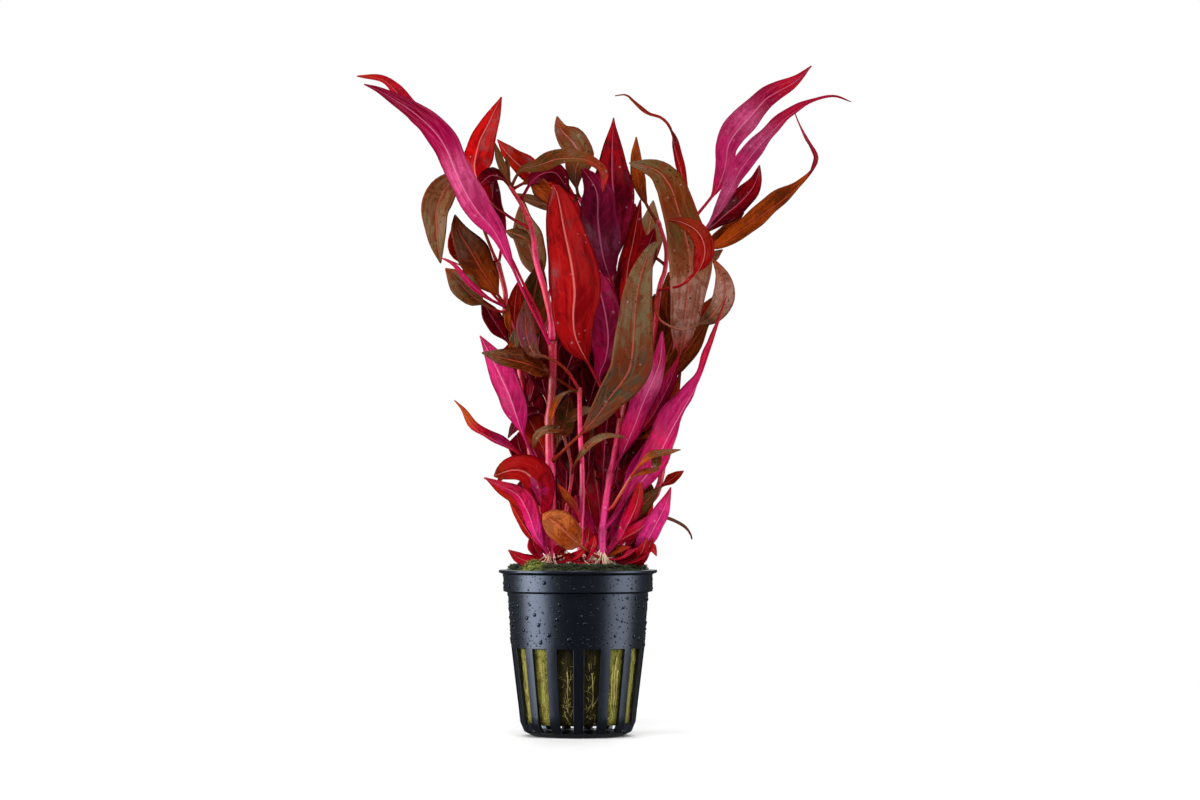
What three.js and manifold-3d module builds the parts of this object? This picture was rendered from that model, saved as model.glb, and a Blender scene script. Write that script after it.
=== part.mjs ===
// A potted red alternanthera: a slotted net pot, its rock wool plug and moss, the stems and the leaves.
// Millimetres, +Z up, origin at the centre of the pot's underside, front of the plant towards -Y.
import * as THREE from "three";
import { mergeVertices } from "three/addons/utils/BufferGeometryUtils.js";
import Module from "manifold-3d";

const wasm = await Module();
wasm.setup();

// ---------------------------------------------------------------- driving dimensions
const clearance = 0.3; // between any two pieces that touch
const shortestEdge = 0.02; // what a cut leaves smaller than this is merged away
const rimRadius = 27.75;
const collarRadius = 26.1;
const bodyTopRadius = 24.5;
const slotTopRadius = 23.3;
const heelRadius = 20.2; // where the side turns into the rounded heel
const footRadius = 15.6; // flat ring that the pot stands on
const floorRadius = 16.6; // inside the pot
const wall = 1.1;
const wallJog = 0.6; // half the height that the inside takes to widen at the collar
const potHeight = 58;
const rimThickness = 1;
const collarBottom = 50.5;
const slotTop = 30.8;
const slotBottom = 1.6;
const heelHeight = 5;
const floorThickness = 1.3;
const slotCount = 15;
const slotWidth = 5.9;
const slotWidthLow = 4.6;
const slotReach = 14; // length of the cutter that opens a slot, outwards from slotInnerEnd
const slotInnerEnd = -15.2;
const firstSlot = THREE.MathUtils.degToRad(13); // a rib stands near the front centre
const floorHoleRadius = 2.2;
const floorHoleRing = 8.5;
const floorHoleCount = 6;
const potSides = 45;

const woolTop = 57.4;
const woolBottom = 3.2;
const slotSwell = 0.55; // how far the wool bulges into a slot
const mossThickness = 1.9;
const stemFoot = 46; // how deep the stems reach into the wool
const stemSides = 6;
const sproutStalk = 0.25; // share of a small leaf that is stalk
const sproutSteps = 4;
const bladeFold = 0.2; // how far a leaf's margins rise, as a share of its half width
const stalkHalf = 0.55; // half width of a leaf stalk
const tipHalf = 0.3;

// ---------------------------------------------------------------- colours
const colours = {
  plastic: { color: 0x1d2026, roughness: 0.45, metalness: 0 },
  wool: { color: 0x7d782d, roughness: 0.95, metalness: 0 },
  moss: { color: 0x26301a, roughness: 0.95, metalness: 0 },
  stem: { color: 0xd02a60, roughness: 0.4, metalness: 0 },
  pink: { color: 0xbe3c82, roughness: 0.45, metalness: 0 },
  red: { color: 0xa5161f, roughness: 0.45, metalness: 0 },
  crimson: { color: 0x7c1224, roughness: 0.45, metalness: 0 },
  purple: { color: 0x5f1941, roughness: 0.45, metalness: 0 },
  olive: { color: 0x6e5537, roughness: 0.5, metalness: 0 },
  rust: { color: 0x7a3c14, roughness: 0.5, metalness: 0 },
};

// ---------------------------------------------------------------- the stems
// name: radius at foot and top, route from foot to top, knots (shares of the length where it swells), and
// from, the stem that a side shoot is seated on
const stems = {
  stem_left: {
    radius: [1.55, 1.35],
    route: [[-9, -8, 46], [-9, -8, 61], [-9.1, -9, 78.5], [-9.6, -10, 92.5], [-9.8, -10, 109.6],
      [-8.7, -10, 124], [-8.8, -10, 137.4]],
    knots: [0.17, 0.51, 0.7, 1],
  },
  stem_left_upper: {
    radius: [1.2, 0.7],
    route: [[-8.9, -10, 137.75], [-9.4, -9.5, 145.6], [-11.7, -9, 155.7], [-14.4, -8, 165],
      [-15.9, -7.5, 176], [-19, -7, 184], [-23.9, -7, 192]],
    knots: [0.55, 0.68],
  },
  stem_far_left: {
    radius: [1.2, 0.9],
    route: [[-13, 5, 46], [-14, 5, 61], [-15.5, 7, 85], [-17.5, 8, 105], [-20, 6, 125], [-22.4, 4, 139.7],
      [-25.4, 2, 149.4], [-25.6, 1, 155.5], [-28.3, 0, 166]],
    knots: [0.3, 0.66, 0.78, 1],
  },
  stem_thin_centre: {
    radius: [0.95, 0.8],
    route: [[0.4, -12, 46], [0.4, -12, 61], [1.5, -12, 79.7], [1.5, -12, 94], [0.8, -11, 106],
      [0.6, -11, 121.4]],
    knots: [0.52, 0.99],
  },
  stem_right: {
    radius: [1.35, 1],
    route: [[8.7, -9, 46], [8.7, -9, 61], [8.7, -9, 72.6], [10.3, -8, 85], [12.9, -6, 98.7], [15.1, -3, 111],
      [16.2, 0, 119], [15.6, 3, 134]],
    knots: [0.28, 0.5, 0.72, 1],
  },
  stem_right_upper: {
    radius: [0.95, 0.7],
    route: [[15.55, 3.1, 134.35], [13, 6, 158], [7, 8, 175], [0, 5, 189.6]],
    knots: [0.4, 1],
  },
  stem_right_back: {
    radius: [1.1, 0.8],
    route: [[4, 6, 46], [5, 8, 61], [12, 9, 85], [20, 9, 110], [26, 7, 135], [28.5, 4, 156], [30.5, 5, 163],
      [31, 6, 171], [28, 8, 181]],
    knots: [0.4, 0.58, 0.8, 1],
  },
  stem_far_right: {
    radius: [1.15, 0.85],
    route: [[12, 2, 46], [12, 0, 61], [17.6, 0, 71], [22.3, 1, 78], [28.2, 2, 86.7], [30.4, 4, 100],
      [31.5, 4, 112], [33, 3, 125], [35.5, 4, 145], [38.5, 4, 160], [41, 3, 172], [40.6, 3, 182]],
    knots: [0.3, 0.6, 0.93, 1],
  },
  shoot_centre: {
    radius: [0.75, 0.55],
    route: [[-5.5, -5, 46], [-5, -5, 61], [-4.2, -5.5, 77], [-3, -6, 84.4], [-2.1, -6, 91.5], [-2.8, -6, 97],
      [-5.2, -6, 105.5]],
    knots: [0.76, 1],
  },
  shoot_right: {
    from: "stem_right",
    radius: [0.55, 0.5],
    route: [[9.8, -8.4, 78.4], [11.9, -10.8, 79.8], [14.5, -14, 84], [18.8, -17, 91]],
    knots: [1],
  },
  stem_back_left: {
    radius: [1.2, 0.8],
    route: [[-5, 12, 46], [-6, 13, 61], [-9, 16, 85], [-11, 19, 112], [-12, 22, 135], [-11, 24, 156]],
    knots: [0.35, 0.6, 1],
  },
  stem_back_right: {
    radius: [1.2, 0.8],
    route: [[6, 13, 46], [7, 14, 61], [10, 18, 87], [13, 21, 115], [15, 23, 135], [15, 24.5, 151]],
    knots: [0.4, 0.66, 1],
  },
};

// ---------------------------------------------------------------- the leaves
// rib: the midrib from the stem to the tip; stalk: the share of it that is stalk; up: the way the upper
// side faces, and upTip where the blade twists; colour: of the side that shows from the front.
const leaves = {
  leaf_left_long_pink: { stem: "stem_left", width: 10, stalk: 0.22, up: [0.5, 0.8, 0.3], colour: "pink",
    rib: [[-9.2, -10.6, 135.2], [-12.6, -12.8, 142], [-18.7, -15, 154], [-23.6, -17, 165], [-28.5, -19, 175],
      [-35.2, -21, 183], [-40.7, -22, 192.7], [-46.4, -23, 205.5], [-55, -24, 214.7], [-67, -25, 222.5],
      [-73.5, -25, 225.4]] },
  leaf_left_long_red: { stem: "stem_left", width: 8, stalk: 0.3, up: [0.5, 0.7, 0.5], colour: "red",
    rib: [[-9.4, -9.4, 134], [-12.8, -8.8, 145], [-18.7, -9, 157], [-24, -9, 168], [-31, -9, 180],
      [-38, -9, 192], [-44, -8, 204], [-51, -5, 215], [-57, -3, 221], [-67, 1, 230], [-78, 5, 231.8]] },
  leaf_left_drooping_olive: { stem: "stem_far_left", width: 9.5, stalk: 0.42, up: [-0.3, -1, 0.2],
    colour: "olive",
    rib: [[-28.4, 0, 165.4], [-33, 3, 177], [-37, 5, 189], [-42, 4, 195], [-47, 2, 191], [-49.5, 0, 184],
      [-49.5, -2, 177], [-49, -3, 171], [-48, -4, 165]] },
  leaf_left_orange: { stem: "stem_far_left", width: 7, stalk: 0.15, up: [0.2, -1, 0.1], colour: "rust",
    rib: [[-25.5, 1.4, 150.5], [-30, -3, 157], [-34, -5, 163], [-38, -6, 170], [-41.5, -6, 176],
      [-43, -5, 182]] },
  leaf_left_olive_small: { stem: "stem_far_left", width: 6, stalk: 0.4, up: [0.2, -1, 0.4], colour: "olive",
    rib: [[-25.3, 2, 148], [-30, -4, 149], [-35, -6, 152], [-38, -7, 154.5], [-42, -8, 159],
      [-46.2, -8, 163]] },
  leaf_top_left_red: { stem: "stem_left_upper", width: 9, stalk: 0.3, up: [0.4, 0.9, 0.1], colour: "red",
    rib: [[-16.1, -7.5, 176.6], [-22, -4, 180], [-26.3, -3, 183], [-30.3, -1, 186.6], [-36, 1, 197],
      [-35, 4, 207], [-32, 8, 214.4], [-27.2, 12, 225]] },
  leaf_top_red_leaning: { stem: "stem_right_upper", width: 8, stalk: 0.2, up: [0.2, 0.9, 0.5], colour: "red",
    rib: [[-0.5, 5, 189], [-8, 4, 193], [-14, 6, 196], [-20, 9, 200], [-25, 13, 205], [-28.7, 17, 210.4]] },
  leaf_top_olive_arching: { stem: "stem_left_upper", width: 6.5, stalk: 0.12, up: [0, -1, 0.4],
    upTip: [0, -0.6, 1], colour: "olive",
    rib: [[-23.4, -7, 191.4], [-19.9, -9, 197], [-13.7, -12, 198.5], [-7, -14, 200.5], [0, -16, 200.5],
      [5, -17, 199], [9, -17.5, 195.5], [8.6, -17.5, 189]] },
  leaf_top_olive_upright: { stem: "stem_right_upper", width: 9, stalk: 0.12, up: [0.1, -1, 0.1],
    colour: "olive",
    rib: [[0, 4.6, 189], [-1, 1, 197], [0.5, 2, 203], [-2, 5, 208.5], [-6, 8, 213], [-7.5, 10, 218]] },
  leaf_top_crimson: { stem: "stem_right_upper", width: 12.5, stalk: 0.15, up: [0.1, 1, 0], colour: "crimson",
    rib: [[13, 5.4, 157.6], [13, 2, 172], [12.8, 1, 185], [12, 1, 196], [12, 3, 206], [12.5, 6, 217]] },
  leaf_top_purple: { stem: "stem_right_upper", width: 10, stalk: 0.12, up: [0.2, 1, 0], colour: "purple",
    rib: [[12.8, 5.4, 156.6], [9.7, -1, 164.6], [8.2, -4, 171], [7, -6, 180], [6.5, -7, 190],
      [1.5, -8, 198]] },
  leaf_top_orange: { stem: "stem_right_back", width: 5, stalk: 0.25, up: [0, 1, 0.1], colour: "rust",
    rib: [[28, 8, 180], [24, 10, 187], [21.5, 12, 195], [20.5, 14, 203], [20.6, 17, 211.3]] },
  leaf_right_olive_arching: { stem: "stem_far_right", width: 13, stalk: 0.22, up: [0.1, -1, 0.1],
    colour: "olive",
    rib: [[32.8, 2.4, 124], [35.2, -3, 131], [37, -8, 144], [38.4, -10, 156], [39, -10.5, 166],
      [37.2, -11, 175], [34, -12, 186], [31.7, -12, 192], [27, -12, 197], [17.8, -12, 199.4]] },
  leaf_right_red_folded: { stem: "stem_right_back", width: 5, stalk: 0.4, up: [0.2, -1, 0.5],
    upTip: [-0.2, 1, 0.4], colour: "red",
    rib: [[28.4, 3.4, 156], [32, -9, 156], [36.5, -16, 157], [42, -18, 162.4], [43.9, -18, 169],
      [41.5, -17.5, 175], [36, -17, 178.4], [30.4, -17, 179.5]] },
  leaf_front_olive: { stem: "stem_left", width: 14, stalk: 0.3, up: [0.2, -1, 0.1], colour: "olive",
    rib: [[-8.8, -11, 95.6], [-3.5, -14.5, 100.8], [2, -16.5, 106], [6.5, -18, 111], [11.8, -20, 118.5],
      [15.4, -22, 123], [18.3, -24, 129], [19.4, -27, 142], [20.1, -28, 151], [22, -28, 160], [25, -27, 168],
      [29.8, -26, 174]] },
  leaf_front_red: { stem: "stem_right", width: 17.5, stalk: 0.3, up: [0.1, 1, 0.1], colour: "red",
    rib: [[14.8, -3.6, 110.6], [8.5, -12, 120.5], [4, -16, 129], [-0.5, -18, 138], [-1.5, -19, 146],
      [-1, -19, 154], [-2.2, -18, 164], [-4.7, -16, 176], [-7, -14, 188], [-9, -13, 192]] },
  leaf_middle_magenta: { stem: "stem_right", width: 9, stalk: 0.25, up: [-0.2, 1, 0.1], colour: "purple",
    rib: [[15.1, -2.8, 111.4], [10, -5, 118], [7.4, -7, 125], [9.5, -8, 131], [10.5, -8, 138],
      [9.5, -8, 147], [7, -8, 157], [3, -8, 168]] },
  leaf_right_pink_front: { stem: "stem_right", width: 8.5, stalk: 0.15, up: [-0.4, 0.9, 0.2], colour: "pink",
    rib: [[11.6, -7.4, 90.4], [16, -12, 100], [19.5, -14, 108], [22.5, -15, 116], [26, -15, 124],
      [28.5, -14, 131], [29.3, -12, 140.8]] },
  leaf_right_long_pink: { stem: "stem_right", width: 12.8, stalk: 0.2, up: [-0.5, 0.9, 0.2],
    upTip: [-1, 0, 0.3], colour: "pink",
    rib: [[8.8, -9.5, 71.5], [13.8, -11, 77.2], [17.6, -11, 84], [23.8, -11, 91], [28, -11, 98], [32, -10, 106],
      [37, -9, 115], [42, -8, 124], [46, -8, 135], [49.2, -8.5, 145], [51.8, -9, 153.4]] },
  leaf_top_right_pink: { stem: "stem_far_right", width: 12.5, stalk: 0.14, up: [-0.4, 0.9, 0.3],
    colour: "pink",
    rib: [[40.7, 2.7, 181.2], [44.3, 3, 185.5], [47.9, 4, 190.3], [50.3, 5, 195.5], [51.9, 6, 201],
      [52.7, 7, 207], [55.5, 9, 212], [60.3, 11, 217.5], [65.9, 13, 224], [70.3, 14, 227], [77, 16, 231],
      [82.9, 18, 236.8]] },
  leaf_top_right_pink_curved: { stem: "stem_far_right", width: 8, stalk: 0.15, up: [-0.4, 0.9, 0.3],
    upTip: [-0.1, 0.2, 1], colour: "pink",
    rib: [[41, 2.4, 172], [46, -4, 179], [49.5, -8, 184.3], [53, -11, 190.7], [56.3, -14, 196.7],
      [61, -17, 203], [66, -19, 208.5], [72, -21, 214.5], [80, -22, 219.3], [88, -22, 221.5],
      [94.4, -21, 219.9]] },
  leaf_top_right_dark: { stem: "stem_far_right", width: 5, stalk: 0.15, up: [-0.3, -1, 0.6], colour: "crimson",
    rib: [[41, 3.2, 174], [46, 5, 177.5], [51, 6, 182], [58, 7, 188], [62.5, 8, 194], [64, 8, 200.5]] },
  leaf_right_rust: { stem: "stem_far_right", width: 7.5, stalk: 0.08, up: [-0.3, -1, 0.6],
    upTip: [-1, 0.2, 0.2], colour: "rust",
    rib: [[40.8, 2.8, 169.4], [50, 0, 172], [57, -2, 176.5], [64, -4, 181.5], [71, -6, 186.5],
      [77, -8, 191.5], [82, -9, 197.5], [83.5, -9, 202], [80.5, -8, 207.5], [77.5, -7, 213],
      [75.5, -6, 218]] },
  leaf_top_right_hooked: { stem: "stem_far_right", width: 4, stalk: 0.1, up: [0.3, 0.9, 0.1],
    upTip: [0, -0.6, 1], colour: "red",
    rib: [[40.4, 3.2, 181.6], [38.4, 5, 188], [36.5, 7, 198], [34.5, 9, 206], [32.8, 10, 213],
      [29.5, 11, 217.3], [24.5, 11, 219], [20, 12, 223], [17, 12, 225.8], [13, 13, 225.7]] },
  leaf_right_looping: { stem: "stem_right_back", width: 6, stalk: 0.5, up: [0.9, -0.4, 0.3],
    upTip: [0.2, -1, 0.1], colour: "olive",
    rib: [[28.3, 3.6, 154.6], [26.9, -4, 150], [29, -9, 144.5], [36, -11, 141.5], [43, -8, 144],
      [48, -2, 148], [51, 1, 154], [50.5, 2, 161], [47, 2, 167.5]] },
  leaf_right_orange_behind: { stem: "stem_far_right", width: 8, stalk: 0.25, up: [0.1, -1, 0.2],
    colour: "rust",
    rib: [[32.9, 3.4, 125], [31.5, 9, 135], [31, 11, 145], [31.5, 12, 156], [32, 12, 163]] },
  leaf_left_pink_low: { stem: "stem_left", width: 10, stalk: 0.3, up: [0.5, 0.9, 0.2], colour: "pink",
    rib: [[-9.9, -9.6, 92], [-15, -9.5, 97], [-18.5, -9.5, 104], [-21.3, -10, 112], [-23.8, -10, 119],
      [-27.1, -9, 126], [-31, -8, 134], [-34.1, -6, 139.5]] },
  leaf_left_rust_front: { stem: "stem_thin_centre", width: 9.5, stalk: 0.3, up: [0, -1, 0.5],
    colour: "rust",
    rib: [[0.3, -10.6, 119.4], [-5, -6, 123], [-10.2, -6, 126.6], [-18, -14, 129.5], [-25, -20, 131],
      [-33, -22, 133]] },
  leaf_left_brown_upright: { stem: "stem_thin_centre", width: 5, stalk: 0.45, up: [0.3, -1, 0.1],
    colour: "olive",
    rib: [[0.4, -11.3, 120.8], [-3.3, -13.5, 126.6], [-6.9, -14.4, 129.8], [-10.5, -14.4, 131.6],
      [-15.5, -13, 133.5], [-18, -11, 141], [-18.5, -10, 152]] },
  leaf_far_left_pink: { stem: "stem_far_left", width: 5, stalk: 0.15, up: [0.3, 0.6, 0.8], colour: "red",
    rib: [[-17, 7.4, 97], [-20, 3, 98.5], [-25, 0, 101.5], [-31, -2, 104.5], [-36.5, -3, 108],
      [-40, -3, 113.5], [-43.1, -2, 117.2]] },
  leaf_low_left_curled: { stem: "stem_left", width: 7, stalk: 0.3, up: [0.3, 0.8, 0.6],
    upTip: [0.2, -0.3, 1], colour: "red",
    rib: [[-9.2, -8.4, 64.6], [-13, -12, 76], [-13.4, -13, 83], [-12.2, -14, 89], [-15, -15, 94],
      [-20, -16, 95], [-28, -16, 91]] },
  leaf_low_left_pink: { stem: "stem_left", width: 7, stalk: 0.15, up: [0.4, 0.7, 0.5], colour: "pink",
    rib: [[-9.3, -8.3, 62.4], [-14, -13, 70], [-17, -16, 78], [-20.5, -18, 84], [-26, -19, 87],
      [-32.3, -19, 90]] },
  leaf_low_front_orange: { stem: "stem_right", width: 11, stalk: 0.35, up: [-0.1, -1, 0.3], colour: "rust",
    rib: [[8.5, -9.4, 61.9], [3.9, -15, 64.2], [-0.5, -18, 67.7], [-3.3, -19, 70.2], [-6.5, -19, 73.6],
      [-12, -18, 77.5]] },
  leaf_low_right_pink: { stem: "stem_far_right", width: 6.5, stalk: 0.25, up: [-0.5, 0.9, 0.2],
    colour: "pink",
    rib: [[12.2, -0.3, 62], [19.5, -7, 62.8], [23.8, -10, 68], [26.5, -11, 73], [29.5, -12, 79],
      [31.5, -12, 84], [32.2, -11, 86.7]] },
  leaf_back_low_left: { stem: "stem_back_left", width: 11, stalk: 0.2, up: [-0.2, -0.7, 0.8], colour: "crimson",
    rib: [[-9, 16.4, 84], [-12, 24, 92], [-16, 33, 100], [-19, 42, 106], [-21, 50, 108]] },
  leaf_back_low_middle: { stem: "stem_back_left", width: 11, stalk: 0.2, up: [0.2, -0.7, 0.8],
    colour: "crimson",
    rib: [[-8.8, 16.4, 85], [-4, 25, 92], [0, 34, 100], [2, 43, 105], [3, 51, 106]] },
  leaf_back_left: { stem: "stem_back_left", width: 12, stalk: 0.2, up: [-0.2, -0.7, 0.8], colour: "crimson",
    rib: [[-11, 19.4, 112], [-16, 27, 121], [-21, 36, 130], [-24, 44, 136], [-26, 52, 139]] },
  leaf_back_middle: { stem: "stem_back_left", width: 12, stalk: 0.2, up: [0.2, -0.7, 0.8], colour: "red",
    rib: [[-10.8, 19.4, 113], [-6, 28, 122], [-3, 37, 132], [-2, 46, 138], [-1, 54, 141]] },
  leaf_back_top_left: { stem: "stem_back_left", width: 11, stalk: 0.2, up: [0.1, -0.9, 0.5], colour: "olive",
    rib: [[-11, 24, 154.6], [-15, 30, 165], [-18, 35, 175], [-20, 38, 184], [-20, 40, 191]] },
  leaf_back_top_middle: { stem: "stem_back_left", width: 12, stalk: 0.2, up: [0, -0.9, 0.5], colour: "crimson",
    rib: [[-10.9, 24, 155.2], [-6, 31, 168], [-4, 37, 180], [-4, 41, 190], [-5, 43, 199]] },
  leaf_back_low_right: { stem: "stem_back_right", width: 12, stalk: 0.2, up: [0.2, -0.7, 0.8],
    colour: "crimson",
    rib: [[10.1, 18.3, 88], [17, 26, 96], [22, 34, 104], [26, 42, 110], [28, 50, 113]] },
  leaf_back_low_centre: { stem: "stem_back_right", width: 10, stalk: 0.2, up: [-0.2, -0.7, 0.8],
    colour: "red",
    rib: [[10, 18.2, 87], [7, 27, 94], [8, 36, 100], [10, 45, 104], [11, 52, 105]] },
  leaf_back_right: { stem: "stem_back_right", width: 12, stalk: 0.2, up: [0.2, -0.7, 0.8], colour: "crimson",
    rib: [[13, 21.2, 115], [20, 29, 124], [26, 37, 133], [30, 44, 140], [33, 51, 144]] },
  leaf_back_centre: { stem: "stem_back_right", width: 12, stalk: 0.2, up: [-0.1, -0.7, 0.8], colour: "olive",
    rib: [[13, 21.4, 116], [10, 30, 126], [10, 39, 135], [11, 47, 141], [12, 54, 144]] },
  leaf_back_top_right: { stem: "stem_back_right", width: 12, stalk: 0.2, up: [-0.1, -0.9, 0.5],
    colour: "olive",
    rib: [[15, 24.6, 149.8], [20, 31, 162], [24, 37, 173], [26, 41, 183], [27, 44, 191]] },
};

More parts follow.
